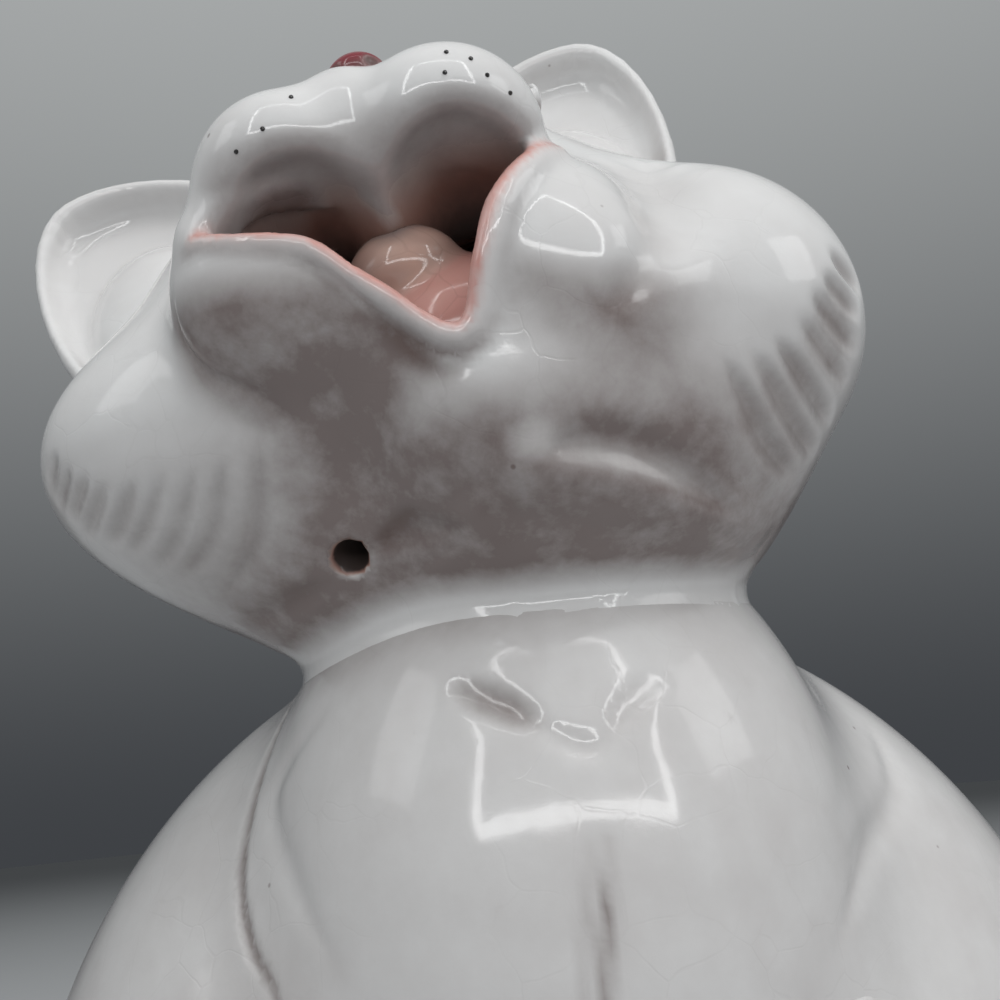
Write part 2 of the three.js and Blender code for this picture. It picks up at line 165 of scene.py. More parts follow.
class Clay:
    """A form in clay, held as its signed distance in millimetres, negative inside."""

    def __init__(self, distance: Callable[[Points], Values]) -> None:
        """Keep the distance function."""
        self.distance = distance

    def __call__(self, points: Points) -> Values:
        """Give the signed distance of each point."""
        return self.distance(points)

    def __or__(self, other: "Clay") -> "Clay":
        """Join two forms with no fillet."""
        return Clay(lambda points: np.minimum(self(points), other(points)))

    def __and__(self, other: "Clay") -> "Clay":
        """Keep what two forms share."""
        return Clay(lambda points: np.maximum(self(points), other(points)))

    def __neg__(self) -> "Clay":
        """Turn a form inside out."""
        return Clay(lambda points: -self(points))

    def melt(self, other: "Clay", width: float) -> "Clay":
        """Join two forms with a fillet of the given width."""
        return Clay(lambda points: blend(self(points), other(points), width))

    def carve(self, tool: "Clay", width: float) -> "Clay":
        """Take a form away and round the edge that it leaves."""
        return -((-self).melt(tool, width))

    def grown(self, amount: float) -> "Clay":
        """Move the surface outwards."""
        return Clay(lambda points: self(points) - amount)

    def seated(self, seat: "Seat") -> "Clay":
        """Read a form that was drawn in its own frame from the world's."""
        return Clay(lambda points: self(seat.local(points)))

    def near(self, low: Sequence[float], high: Sequence[float]) -> "Clay":
        """Work the form out only inside a box that holds it with some room.

        Args:
            low: The box's lowest corner.
            high: The box's highest corner.

        Returns:
            The same form, with the distance to the box plus a little elsewhere.
        """
        middle, half = (row(low) + row(high)) / 2, (row(high) - row(low)) / 2

        def distance(points: Points) -> Values:
            """Measure to the form inside the box, and to the box elsewhere."""
            beyond = np.abs(points - middle) - half
            outside = np.linalg.norm(np.maximum(beyond, 0.0), axis=1) + PRESS_REACH
            inside = np.all(beyond < 0.0, axis=1)
            if inside.any():
                outside[inside] = self(points[inside])
            return outside

        return Clay(distance)

    def pressed(self, marks: Sequence["Groove"]) -> "Clay":
        """Press tool marks into the surface."""

        def distance(points: Points) -> Values:
            """Add the marks' depth close to the surface."""
            plain = self(points).copy()
            close = np.abs(plain) < PRESS_REACH
            if close.any():
                plain[close] += depth_of(marks, points[close])
            return plain

        return Clay(distance)

    def slope(self, points: Points, step: float) -> Points:
        """Give the direction in which the distance grows at each point.

        Args:
            points: Where to look.
            step: The distance between the two readings along each axis.

        Returns:
            One gradient for each point.
        """
        shifts = np.eye(3, dtype=np.float32) * (step / 2)
        return np.stack([self(points + s) - self(points - s) for s in shifts], 1) / step

    def landed(self, points: Sequence[Triple], rounds: int = 4) -> Points:
        """Bring points that lie close to the surface onto it."""
        placed = np.asarray(points, np.float32)
        for _ in range(rounds):
            rise = self.slope(placed, 0.4)
            placed = placed - rise * (self(placed) / (np.sum(rise * rise, 1) + TINY))[:, None]
        return placed


class Kept(Clay):
    """A form that remembers its last answer, for one that several others stand on."""

    def __init__(self, clay: Clay) -> None:
        """Wrap the form."""
        super().__init__(clay.distance)
        self.last: tuple[Optional[Points], Optional[Values]] = (None, None)

    def __call__(self, points: Points) -> Values:
        """Give the signed distance of each point."""
        if self.last[0] is not points:
            self.last = (points, self.distance(points))
        return self.last[1]


@dataclass(frozen=True)
class Seat:
    """Where a part of the cat sits: its middle, and its turn as columns of a matrix."""

    middle: Points
    turn: Points

    def local(self, points: Points) -> Points:
        """Bring world points into the part's own frame."""
        return (points - self.middle) @ self.turn

    def world(self, points: Points) -> Points:
        """Bring points of the part's own frame into the world."""
        return np.asarray(points, np.float32) @ self.turn.T + self.middle


def line_distance(points: Points, path: Points, radii: Union[float, Sequence[float]] = 0.0) -> Values:
    """Give each point's distance from a line, less the line's own radius.

    Args:
        points: Where to look.
        path: The line's points.
        radii: One radius, or one for each point of the line.

    Returns:
        One distance for each point.
    """
    nearest = np.full(len(points), FAR, np.float32)
    girth = np.broadcast_to(np.asarray(radii, np.float32), (len(path),))
    for start, end, first, last in zip(path[:-1], path[1:], girth[:-1], girth[1:]):
        along = end - start
        share = unit(((points - start) @ along) / (along @ along + TINY))
        away = np.linalg.norm(points - start - share[:, None] * along, axis=1)
        nearest = np.minimum(nearest, away - first - (last - first) * share)
    return nearest


def eased(path: Sequence[Sequence[float]], steps: int = 5) -> Points:
    """Draw a smooth line through a few points.

    Args:
        path: The points that the line passes through.
        steps: How many short pieces there are between two of them.

    Returns:
        The points of the line.
    """
    knots = np.asarray(path, np.float32)
    if len(knots) < 3:
        return knots
    ends = np.concatenate([2 * knots[:1] - knots[1:2], knots, 2 * knots[-1:] - knots[-2:-1]])
    share = np.linspace(0.0, 1.0, steps, endpoint=False, dtype=np.float32)[:, None]
    runs = []
    for a, b, c, d in zip(ends, ends[1:], ends[2:], ends[3:]):
        bend = (2 * a - 5 * b + 4 * c - d) * share**2 + (3 * b - a - 3 * c + d) * share**3
        runs.append(b + ((c - a) * share + bend) / 2)
    return np.concatenate(runs + [knots[-1:]]).astype(np.float32)


def bezier(corners: Sequence[Pair], steps: int) -> Points:
    """Draw a cubic curve in a plane, without its last point."""
    t = np.linspace(0.0, 1.0, steps, endpoint=False)[:, None]
    a, b, c, d = (np.asarray(corner) for corner in corners)
    return (1 - t) ** 3 * a + 3 * (1 - t) ** 2 * t * b + 3 * (1 - t) * t * t * c + t**3 * d


@dataclass(frozen=True)
class Groove:
    """A tool mark along a line: its half width, its depth, the grime and painted shade that darken it, and
    how its ends fade.
    """

    path: Points
    width: float
    depth: float
    soil: float = 1.0
    fade: float = 0.0

    def __call__(self, points: Points) -> Values:
        """Give how deep the mark goes at each point."""
        depth = np.zeros(len(points), np.float32)
        reach = GROOVE_REACH * self.width
        low, high = self.path.min(0) - reach, self.path.max(0) + reach
        close = np.all((points > low) & (points < high), axis=1)
        if close.any():
            thin = -self.fade * self.width * np.abs(np.linspace(-1.0, 1.0, len(self.path))) ** 3
            away = line_distance(points[close], self.path, thin) / self.width
            depth[close] = self.depth * np.exp(-away * away)
        return depth

    def seated(self, seat: Seat) -> "Groove":
        """Move a mark from a part's own frame into the world."""
        return replace(self, path=seat.world(self.path).astype(np.float32))


def laid(clay: Clay, lines: Sequence[tuple[float, float, float, Sequence[Triple]]]) -> list[Groove]:
    """Lay marks on a form; each line gives half width, depth, grime with painted shade, and path."""
    return [Groove(eased(clay.landed(path)), wide, deep, soil, MARK_FADE) for wide, deep, soil, path in lines]


def depth_of(marks: Sequence[Groove], points: Points) -> Values:
    """Add up the depth of all marks at each point."""
    return sum((mark(points) for mark in marks), np.zeros(len(points), np.float32))


def soil_of(marks: Sequence[Groove], points: Points) -> Values:
    """Add up the grime and painted shade that the marks hold at each point."""
    held = (mark.soil * np.maximum(mark(points), 0.0) for mark in marks)
    return unit(sum(held, np.zeros(len(points), np.float32)))


@dataclass(frozen=True)
class Egg:
    """An egg of clay: its middle, its full size and its turn about Y, in millimetres and degrees."""

    place: Triple
    size: Triple
    roll: float = 0.0

    def clay(self) -> Clay:
        """Make the egg's form."""
        middle, half, turn = row(self.place), row(self.size) / 2, turned(1, self.roll)

        def distance(points: Points) -> Values:
            """Measure to the egg, exactly at its surface."""
            local = (points - middle) @ turn
            reach = np.linalg.norm(local / half, axis=1)
            slope = np.linalg.norm(local / half**2, axis=1) + TINY
            return reach * (reach - 1.0) / slope

        return Clay(distance)

    def bigger(self, amount: float) -> "Egg":
        """Give an egg that stands off all round by an amount."""
        x, y, z = self.size
        return Egg(self.place, (x + 2 * amount, y + 2 * amount, z + 2 * amount), self.roll)

    def mirrored(self) -> "Egg":
        """Give the egg of the other side."""
        return Egg((-self.place[0], self.place[1], self.place[2]), self.size, -self.roll)

    def on(self, side: Side) -> "Egg":
        """Give the egg of a side, for one that is drawn on the right."""
        return self if side is Side.RIGHT else self.mirrored()


def limb(start: Triple, end: Triple, start_radius: float, end_radius: float) -> Clay:
    """Make a rounded limb that tapers from one radius to another."""
    path = np.stack([row(start), row(end)])
    return Clay(lambda points: line_distance(points, path, (start_radius, end_radius)))


def coil(path: Points, radii: Union[float, Sequence[float]]) -> Clay:
    """Roll a coil of clay along a line, of one radius or of one for each point."""
    rolled = Clay(lambda points: line_distance(points, path, radii))
    room = float(np.max(radii)) + PRESS_REACH
    return rolled.near(path.min(0) - room, path.max(0) + room)


def outline_distance(points: Points, outline: Points) -> Values:
    """Give the signed distance from a closed outline in X and Z, negative inside."""
    u, v = points[:, 0], points[:, 2]
    nearest = np.full(len(points), FAR * FAR, np.float32)
    inside = np.zeros(len(points), bool)
    for (ax, az), (bx, bz) in zip(outline, np.roll(outline, 1, axis=0)):
        ex, ez, wx, wz = bx - ax, bz - az, u - ax, v - az
        share = unit((wx * ex + wz * ez) / (ex * ex + ez * ez + TINY))
        nearest = np.minimum(nearest, (wx - ex * share) ** 2 + (wz - ez * share) ** 2)
        inside ^= ((az > v) != (bz > v)) & (u < ax + ex * (v - az) / (ez if abs(ez) > TINY else TINY))
    return np.where(inside, -1.0, 1.0).astype(np.float32) * np.sqrt(nearest)


def slab(outline: Points, front: float, back: float, edge: float, growth: float = 0.0) -> Clay:
    """Cut a slab from an outline in X and Z, with rounded edges.

    Args:
        outline: The points of the closed outline.
        front: The lowest Y.
        back: The highest Y.
        edge: The radius of the rounded edges.
        growth: How far the slab's outline stands outside the drawn one.

    Returns:
        The slab's form, worked out only close to it.
    """
    flat = outline.astype(np.float32)

    def distance(points: Points) -> Values:
        """Measure to the slab's rounded sides and faces."""
        side = outline_distance(points, flat) - growth + edge
        face = np.abs(points[:, 1] - (front + back) / 2) - (back - front) / 2 + edge
        beyond = np.hypot(np.maximum(side, 0.0), np.maximum(face, 0.0))
        return np.minimum(np.maximum(side, face), 0.0) + beyond - edge

    room = growth + 2 * PRESS_REACH
    (low_x, low_z), (high_x, high_z) = flat.min(0) - room, flat.max(0) + room
    return Clay(distance).near((low_x, front - room, low_z), (high_x, back + room, high_z))


def above(height: float) -> Clay:
    """Make all the space above a level."""
    return Clay(lambda points: height - points[:, 2])


# Skins

def read_grid(clay: Clay, axes: Sequence[Values]) -> Values:
    """Work a form out on a grid of points, a part at a time."""
    grid = np.stack(np.meshgrid(*axes, indexing="ij"), -1).reshape(-1, 3).astype(np.float32)
    parts = np.array_split(grid, max(1, len(grid) // CHUNK))
    return np.concatenate([clay(part) for part in parts]).reshape([len(axis) for axis in axes])


def cell_points(values: Values, cells: np.ndarray) -> Points:
    """Place one point in each cell that the surface crosses.

    Args:
        values: The distances on the grid.
        cells: The lowest corners of the crossed cells.

    Returns:
        The mean of each cell's crossings, in grid steps.
    """
    total = np.zeros((len(cells), 3), np.float64)
    count = np.zeros(len(cells), np.float64)
    corners = [np.array((i, j, k)) for i in (0, 1) for j in (0, 1) for k in (0, 1)]
    for first in corners:
        for axis in range(3):
            if first[axis]:
                continue
            second = first + np.eye(3, dtype=int)[axis]
            a, b = values[tuple((cells + first).T)], values[tuple((cells + second).T)]
            crossed = (a < 0) != (b < 0)
            share = np.where(crossed, a / np.where(crossed, a - b, 1.0), 0.0)
            total += crossed[:, None] * (first + share[:, None] * (second - first))
            count += crossed
    return cells + total / count[:, None]


def cell_faces(inside: np.ndarray, number: np.ndarray) -> np.ndarray:
    """Join the cells' points to faces that look outwards.

    Args:
        inside: Which grid points lie in the clay.
        number: The number of each crossed cell's point.

    Returns:
        Four point numbers for each face.
    """
    faces = []
    for axis in range(3):
        u, v = (axis + 1) % 3, (axis + 2) % 3
        here = np.moveaxis(inside, axis, 0)
        edges = np.argwhere(np.moveaxis(here[:-1] != here[1:], 0, axis))
        room = np.all((edges[:, (u, v)] > 0) & (edges[:, (u, v)] < np.array(number.shape)[[u, v]]), axis=1)
        edges = edges[room]
        around = []
        for du, dv in ((-1, -1), (0, -1), (0, 0), (-1, 0)):
            cell = edges.copy()
            cell[:, u] += du
            cell[:, v] += dv
            around.append(number[tuple(cell.T)])
        quads = np.stack(around, 1)
        faces.append(np.where(inside[tuple(edges.T)][:, None], quads, quads[:, ::-1]))
    return np.concatenate(faces)


def skin(clay: Clay, low: Points, high: Points, step: float) -> tuple[Points, np.ndarray]:
    """Skin a form with four-sided faces, closed where the box cuts it.

    Args:
        clay: The form.
        low: The lowest corner of the box to look in.
        high: The highest corner of the box to look in.
        step: The distance between grid points.

    Returns:
        The points in millimetres and the faces.
    """
    axes = [np.arange(low[i], high[i] + step, step, dtype=np.float32) for i in range(3)]
    values = read_grid(clay, axes)
    for axis in range(3):
        sides = np.moveaxis(values, axis, 0)
        sides[[0, -1]] = np.maximum(sides[[0, -1]], step / 2)
    inside = values < 0
    corners = sum(inside[i : i - 1 or None, j : j - 1 or None, k : k - 1 or None].astype(np.int8)
                  for i in (0, 1) for j in (0, 1) for k in (0, 1))
    crossed = (corners > 0) & (corners < 8)
    cells = np.argwhere(crossed)
    number = np.full(crossed.shape, -1)
    number[crossed] = np.arange(len(cells))
    points = (np.array([axis[0] for axis in axes]) + cell_points(values, cells) * step).astype(np.float32)
    for _ in range(2):
        rise = clay.slope(points, step / 2)
        pull = clay(points) / (np.sum(rise * rise, 1) + TINY)
        points = points - rise * np.clip(pull, -step / 2, step / 2)[:, None]
    return points, cell_faces(inside, number)


# Node trees

class Wire:
    """A socket of a node tree; arithmetic on it adds Math nodes."""

    def __init__(self, tree: "Tree", socket: bpy.types.NodeSocket) -> None:
        """Keep the tree and the socket."""
        self.tree = tree
        self.socket = socket

    def maths(self, operation: str, *terms: Term) -> "Wire":
        """Add one Math node that starts from this value."""
        return self.tree.maths(operation, self, *terms)

    def sibling(self, name: str) -> "Wire":
        """Give another output of the same node."""
        return Wire(self.tree, self.tree.pick(self.socket.node.outputs, name))

    def __add__(self, other: Term) -> "Wire":
        """Add."""
        return self.maths("ADD", other)

    __radd__ = __add__

    def __sub__(self, other: Term) -> "Wire":
        """Subtract."""
        return self.maths("SUBTRACT", other)

    def __rsub__(self, other: Term) -> "Wire":
        """Subtract this from a number."""
        return self.tree.maths("SUBTRACT", other, self)

    def __mul__(self, other: Term) -> "Wire":
        """Multiply."""
        return self.maths("MULTIPLY", other)

    __rmul__ = __mul__

    def __truediv__(self, other: Term) -> "Wire":
        """Divide."""
        return self.maths("DIVIDE", other)

    def __rtruediv__(self, other: Term) -> "Wire":
        """Divide a number by this."""
        return self.tree.maths("DIVIDE", other, self)

    def step(self, low: float, high: float) -> "Wire":
        """Rise smoothly from 0 at one value to 1 at another."""
        settings = {"interpolation_type": "SMOOTHSTEP"}
        inputs = {"Value": self, "From Min": low, "From Max": high}
        return self.tree.add("ShaderNodeMapRange", settings, inputs)


class Tree:
    """A node tree with one method that adds any node."""

    def __init__(self, nodes: bpy.types.NodeTree) -> None:
        """Keep the tree."""
        self.nodes = nodes

    @staticmethod
    def pick(sockets: Any, key: Union[int, str]) -> bpy.types.NodeSocket:
        """Find a socket in use by its name or its place in the row."""
        live = [socket for socket in sockets if socket.enabled]
        return live[key] if isinstance(key, int) else next(s for s in live if s.name == key)

    def add(
        self,
        kind: str,
        settings: Optional[dict[str, Any]] = None,
        inputs: Optional[dict[Union[int, str], Any]] = None,
        output: Union[int, str] = 0,
    ) -> Wire:
        """Add a node.

        Args:
            kind: The node's type.
            settings: Its properties, set first; "stops" fills a ramp.
            inputs: Values or wires for its sockets, by name or place.
            output: The output to give back.

        Returns:
            The chosen output.
        """
        node = self.nodes.nodes.new(kind)
        for name, value in (settings or {}).items():
            if name == "stops":
                self.fill_ramp(node.color_ramp, value)
            else:
                setattr(node, name, value)
        for key, value in (inputs or {}).items():
            socket = self.pick(node.inputs, key)
            if isinstance(value, Wire):
                self.nodes.links.new(value.socket, socket)
            else:
                socket.default_value = value
        return Wire(self, self.pick(node.outputs, output)) if len(node.outputs) else Wire(self, None)

    @staticmethod
    def fill_ramp(ramp: bpy.types.ColorRamp, stops: Sequence[tuple[float, Triple]]) -> None:
        """Give a colour ramp its stops."""
        while len(ramp.elements) < len(stops):
            ramp.elements.new(1.0)
        for element, (place, colour) in zip(ramp.elements, stops):
            element.position = place
            element.color = (*colour, 1.0)

    def maths(self, operation: str, *terms: Term) -> Wire:
        """Add one Math node."""
        return self.add("ShaderNodeMath", {"operation": operation}, dict(enumerate(terms)))

    def mix(self, share: Term, first: Any, second: Any) -> Wire:
        """Mix two colours; a plain colour is three numbers."""
        a, b = (c if isinstance(c, Wire) else (*c, 1.0) for c in (first, second))
        return self.add("ShaderNodeMix", {"data_type": "RGBA"}, {"Factor": share, "A": a, "B": b}, "Result")


class Paint(Tree):
    """A material's node tree, on Object coordinates."""

    def __init__(self, name: str) -> None:
        """Start a material with an empty tree."""
        self.material = bpy.data.materials.new(name)
        self.material.use_nodes = True
        self.material.node_tree.nodes.clear()
        super().__init__(self.material.node_tree)
        self.place = self.add("ShaderNodeTexCoord", output="Object")

    def noise(self, size: float, detail: float = 3.0, rough: float = 0.55) -> Wire:
        """Make cloudy noise.

        Args:
            size: The size of one cloud in millimetres.
            detail: How many finer layers it has.
            rough: How strong the finer layers are.

        Returns:
            Values around a half.
        """
        scale = 1 / (size * MILLIMETRE)
        inputs = {"Vector": self.place, "Scale": scale, "Detail": detail, "Roughness": rough}
        return self.add("ShaderNodeTexNoise", None, inputs)

    def mark(self, name: str) -> Wire:
        """Read a number that the piece's mesh carries."""
        settings = {"attribute_type": "GEOMETRY", "attribute_name": name}
        return self.add("ShaderNodeAttribute", settings, output="Fac")

    def cells(self, size: float, feature: str, wobble: float, output: str) -> Wire:
        """Make a net of cells with wavy edges.

        Args:
            size: The size of one cell in millimetres.
            feature: What the cell texture measures.
            wobble: How far the edges stray, in millimetres.
            output: Which of the texture's outputs to give back.

        Returns:
            The chosen output.
        """
        scale, reach = 1 / (size * MILLIMETRE), (wobble * MILLIMETRE,) * 3
        drift = self.add("ShaderNodeTexNoise", None, {"Vector": self.place, "Scale": scale}, "Color")
        inputs = {0: drift, 1: reach, 2: self.place}
        bent = self.add("ShaderNodeVectorMath", {"operation": "MULTIPLY_ADD"}, inputs)
        net = {"Vector": bent, "Scale": scale}
        return self.add("ShaderNodeTexVoronoi", {"feature": feature}, net, output)

    def finish(
        self, colour: Any, roughness: Term, height: Wire, depth: float, **fixed: Any
    ) -> bpy.types.Material:
        """Join colour, roughness and relief in one surface.

        Args:
            colour: The base colour.
            roughness: The roughness.
            height: The relief.
            depth: How high the relief is, in millimetres.
            fixed: Values for the shader's other sockets, by name with _ for a blank.

        Returns:
            The finished material.
        """
        relief = {"Height": height, "Distance": depth * MILLIMETRE, "Strength": 1.0}
        bump = self.add("ShaderNodeBump", None, relief)
        inputs = {name.replace("_", " "): value for name, value in fixed.items()}
        inputs |= {"Base Color": colour, "Roughness": roughness, "Normal": bump}
        shader = self.add("ShaderNodeBsdfPrincipled", None, inputs)
        self.add("ShaderNodeOutputMaterial", None, {"Surface": shader})
        return self.material


@dataclass(frozen=True)
class Glaze:
    """A glaze over clay: its colours, how grime, painted shade and blush change it, and its gloss."""

    name: str
    colour: Triple
    cloud: Triple
    # The colour of painted shade with grime in hollows and undersides
    stain: Triple = (0.205, 0.164, 0.155)
    # The dark colour of the tool marks' grime and painted shade, and of the craze lines and specks
    crease: Triple = (0.085, 0.042, 0.032)
    blush: Triple = (0.60, 0.30, 0.26)
    # Ramp from the mouth's brown to the near-black painted shade of its depths and of the vent hole
    soot: tuple[tuple[float, Triple], ...] = (
        (0.2, (0.42, 0.26, 0.205)),
        (0.55, (0.27, 0.135, 0.105)),
        (0.9, (0.03, 0.016, 0.012)),
    )
    stain_share: float = 1.0
    crease_share: float = 0.8
    craze_share: float = 0.02
    speck_share: float = 0.6
    roughness: float = 0.07
    ripple: float = 0.22
    cloud_size: float = 26.0
    patch_size: float = 7.0
    grain_size: float = 3.2
    craze_size: float = 9.0
    craze_wobble: float = 6.0
    craze_patch: float = 30.0
    speck_size: float = 6.5
    ripple_size: float = 14.0

    def material(self) -> bpy.types.Material:
        """Make the glaze's material."""
        paint = Paint(self.name)
        cloud, grain = paint.noise(self.cloud_size, 4.0), paint.noise(self.grain_size, 4.0, 0.65)
        colour = paint.mix(cloud.step(0.38, 0.68), self.colour, self.cloud)
        patch = 0.55 + 0.9 * (paint.noise(self.patch_size, 5.0, 0.6) - 0.5) + 0.5 * (grain - 0.5)
        # Painted shade of hollows and undersides, with grime, mottled by the patch noise
        dirt = paint.mark("stain") * (patch + 0.45)
        colour = paint.mix((dirt * self.stain_share).maths("MINIMUM", 1.0), colour, self.stain)
        colour = paint.mix(paint.mark("blush") * (0.5 + 0.7 * patch), colour, self.blush)
        # The mouth's brown, deepening to near-black painted shade at the back of the mouth and in the vent
        # hole
        depth = paint.mark("soot")
        level = depth * (0.8 + 0.36 * patch)
        tint_and_shade_colour = paint.add("ShaderNodeValToRGB", {"stops": self.soot}, {"Fac": level}, "Color")
        colour = paint.mix(depth.step(0.02, 0.55) * 0.95, colour, tint_and_shade_colour)
        # Dark fill of tool marks: grime and painted shade; the same colour draws the real craze lines and
        # specks
        fold = paint.mark("crease") * (0.55 + patch)
        colour = paint.mix((fold * self.crease_share).maths("MINIMUM", 0.95), colour, self.crease)
        edge = paint.cells(self.craze_size, "DISTANCE_TO_EDGE", self.craze_wobble, "Distance")
        craze = (1.0 - edge.step(0.004, 0.022)) * paint.noise(self.craze_patch, 2.0).step(0.42, 0.6)
        colour = paint.mix(craze * self.craze_share, colour, self.crease)
        chosen = paint.cells(self.speck_size, "F1", 0.0, "Color")
        seed = paint.add("ShaderNodeSeparateColor", None, {"Color": chosen}, "Red")
        middle = paint.cells(self.speck_size, "F1", 0.0, "Distance")
        speck = (1.0 - middle.step(0.03, 0.07)) * seed.step(0.86, 0.9)
        colour = paint.mix(speck * self.speck_share, colour, self.crease)
        gloss = self.roughness + 0.05 * grain + 0.16 * dirt.maths("MINIMUM", 1.0) + 0.5 * depth
        relief = 0.75 * paint.noise(self.ripple_size, 2.0) + 0.12 * grain - 0.05 * craze
        coat = {"Coat_Weight": 0.35, "Coat_Roughness": 0.04}
        return paint.finish(colour, gloss, relief, self.ripple, IOR=1.5, **coat)


@dataclass(frozen=True)
class BareClay:
    """Fired clay without glaze."""

    name: str
    colour: Triple
    shade: Triple
    grit_size: float = 1.1
    cloud_size: float = 18.0

    def material(self) -> bpy.types.Material:
        """Make the clay's material."""
        paint = Paint(self.name)
        grit = paint.noise(self.grit_size, 6.0, 0.7)
        colour = paint.mix(paint.noise(self.cloud_size, 4.0).step(0.35, 0.65), self.colour, self.shade)
        colour = paint.mix(grit.step(0.6, 0.72), colour, self.shade)
        return paint.finish(colour, 0.75 + 0.2 * grit, grit, 0.25, IOR=1.45)


FINISHES: dict[Slot, Union[Glaze, BareClay]] = {
    Slot.WHITE: Glaze("white_crackle_glaze", (0.70, 0.698, 0.695), (0.64, 0.63, 0.626)),
    Slot.MOUTH: Glaze("stained_mouth_glaze", (0.20, 0.105, 0.08), (0.30, 0.17, 0.14), craze_share=0.1),
    Slot.TONGUE: Glaze("tongue_glaze", (0.66, 0.45, 0.37), (0.54, 0.31, 0.25), craze_share=0.1),
    Slot.NOSE: Glaze("burgundy_nose_glaze", (0.16, 0.012, 0.022), (0.24, 0.03, 0.04), craze_share=0.0),
    Slot.EYE: Glaze("dark_eye_glaze", (0.018, 0.017, 0.018), (0.03, 0.026, 0.022), speck_share=0.0),
    Slot.CLAY: BareClay("bare_fired_clay", (0.56, 0.47, 0.37), (0.44, 0.35, 0.27)),
}


# Pieces

Materials = dict[Slot, bpy.types.Material]


def shown(name: str, data: bpy.types.ID) -> bpy.types.Object:
    """Put an object with its data into the scene."""
    thing = bpy.data.objects.new(name, data)
    bpy.context.scene.collection.objects.link(thing)
    return thing


@dataclass
class Piece:
    """One visible piece: its form, the nodes it stands for, its finish and how fine its skin is."""

    name: str
    nodes: tuple[str, ...]
    slot: Slot
    clay: Clay
    step: float
    marks: Sequence[Groove] = ()
    tints: dict[str, Callable[[Points], Values]] = field(default_factory=dict)
    # How much painted underside shade, painted hollow shade with grime, and even darkening the piece takes
    soiled: float = 0.0
    kept: Optional[Callable[[Points], Values]] = None
    worn: float = 0.0
    room: float = 5.0

    def build(self, cat: Clay, materials: Materials) -> bpy.types.Object:
        """Skin the form, paint shade and grime into its hollows and onto its undersides, and put it in the
        frame.

        Args:
            cat: The form of the whole cat, for its hollows.
            materials: The finishes by slot.

        Returns:
            The finished object.
        """
        boxes = np.array([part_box(node) for node in self.nodes]) / MILLIMETRE
        low, high = boxes[:, 0].min(0) - self.room, boxes[:, 1].max(0) + self.room
        points, faces = skin(self.clay.pressed(self.marks), low, high, self.step)
        mesh = bpy.data.meshes.new(self.name)
        mesh.from_pydata((points * MILLIMETRE).tolist(), [], faces.tolist())
        mesh.shade_smooth()
        for name, values in self.paint(cat, points).items():
            mesh.attributes.new(name, "FLOAT", "POINT").data.foreach_set("value", values.astype(np.float32))
        return place_piece(mesh, self.name, self.nodes, self.slot, materials)

    def paint(self, cat: Clay, points: Points) -> dict[str, Values]:
        """Work out where painted shade with grime, blush and darkened creases lie.

        Args:
            cat: The form of the whole cat.
            points: The skin's points.

        Returns:
            The values of each named attribute.
        """
        rise = self.clay.slope(points, 0.5)
        facing = rise / (np.linalg.norm(rise, axis=1)[:, None] + TINY)
        # Painted shade with grime: darker in hollows, as far as the whole cat closes in along the surface's
        # normal
        hollow = np.zeros(len(points), np.float32)
        for reach, share in HOLLOW_REACHES:
            hollow += share * ramp(cat(points + facing * reach), reach, 0.0)
        # Painted shade: darker where the surface faces down
        facing_down_shade = ramp(facing[:, 2], 0.0, -UNDERSIDE_SLOPE)
        kept = self.kept(points) if self.kept else 1.0
        return {
            "stain": unit(HOLLOW_GAIN * (hollow - HOLLOW_FLOOR) + self.soiled * facing_down_shade) * kept + self.worn,
            "crease": soil_of(self.marks, points),
        } | {name: unit(tint(points)) for name, tint in self.tints.items()}


def place_piece(
    mesh: bpy.types.Mesh,
    name: str,
    nodes: Sequence[str],
    slot: Slot,
    materials: Materials,
) -> bpy.types.Object:
    """Put a finished mesh into the scene and the frame.

    Args:
        mesh: The mesh, in metres in the world.
        name: The piece's name.
        nodes: The nodes that it stands for.
        slot: Its material slot.
        materials: The finishes by slot.

    Returns:
        The object.
    """
    piece = shown(name, mesh)
    if not mesh.materials:
        mesh.materials.append(materials[slot])
    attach(piece, BODY)
    if nodes:
        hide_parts(*nodes)
    LOG.info("%s: %d faces", name, len(mesh.polygons))
    return piece


def luted(piece: Clay, carrier: Clay, fillet: float) -> Clay:
    """Lute a piece to its carrier: a fillet of slip, and no clay inside the carrier.

    Args:
        piece: The form that is stuck on.
        carrier: The form that carries it.
        fillet: The width of the fillet.

    Returns:
        The piece with its fillet, a little sunk into the carrier's skin.
    """
    joined = piece.melt(carrier.grown(-FILLET_SINK), fillet)
    return joined & -carrier.grown(-FILLET_DEPTH) & piece.grown(FILLET_REACH * fillet)


# The head

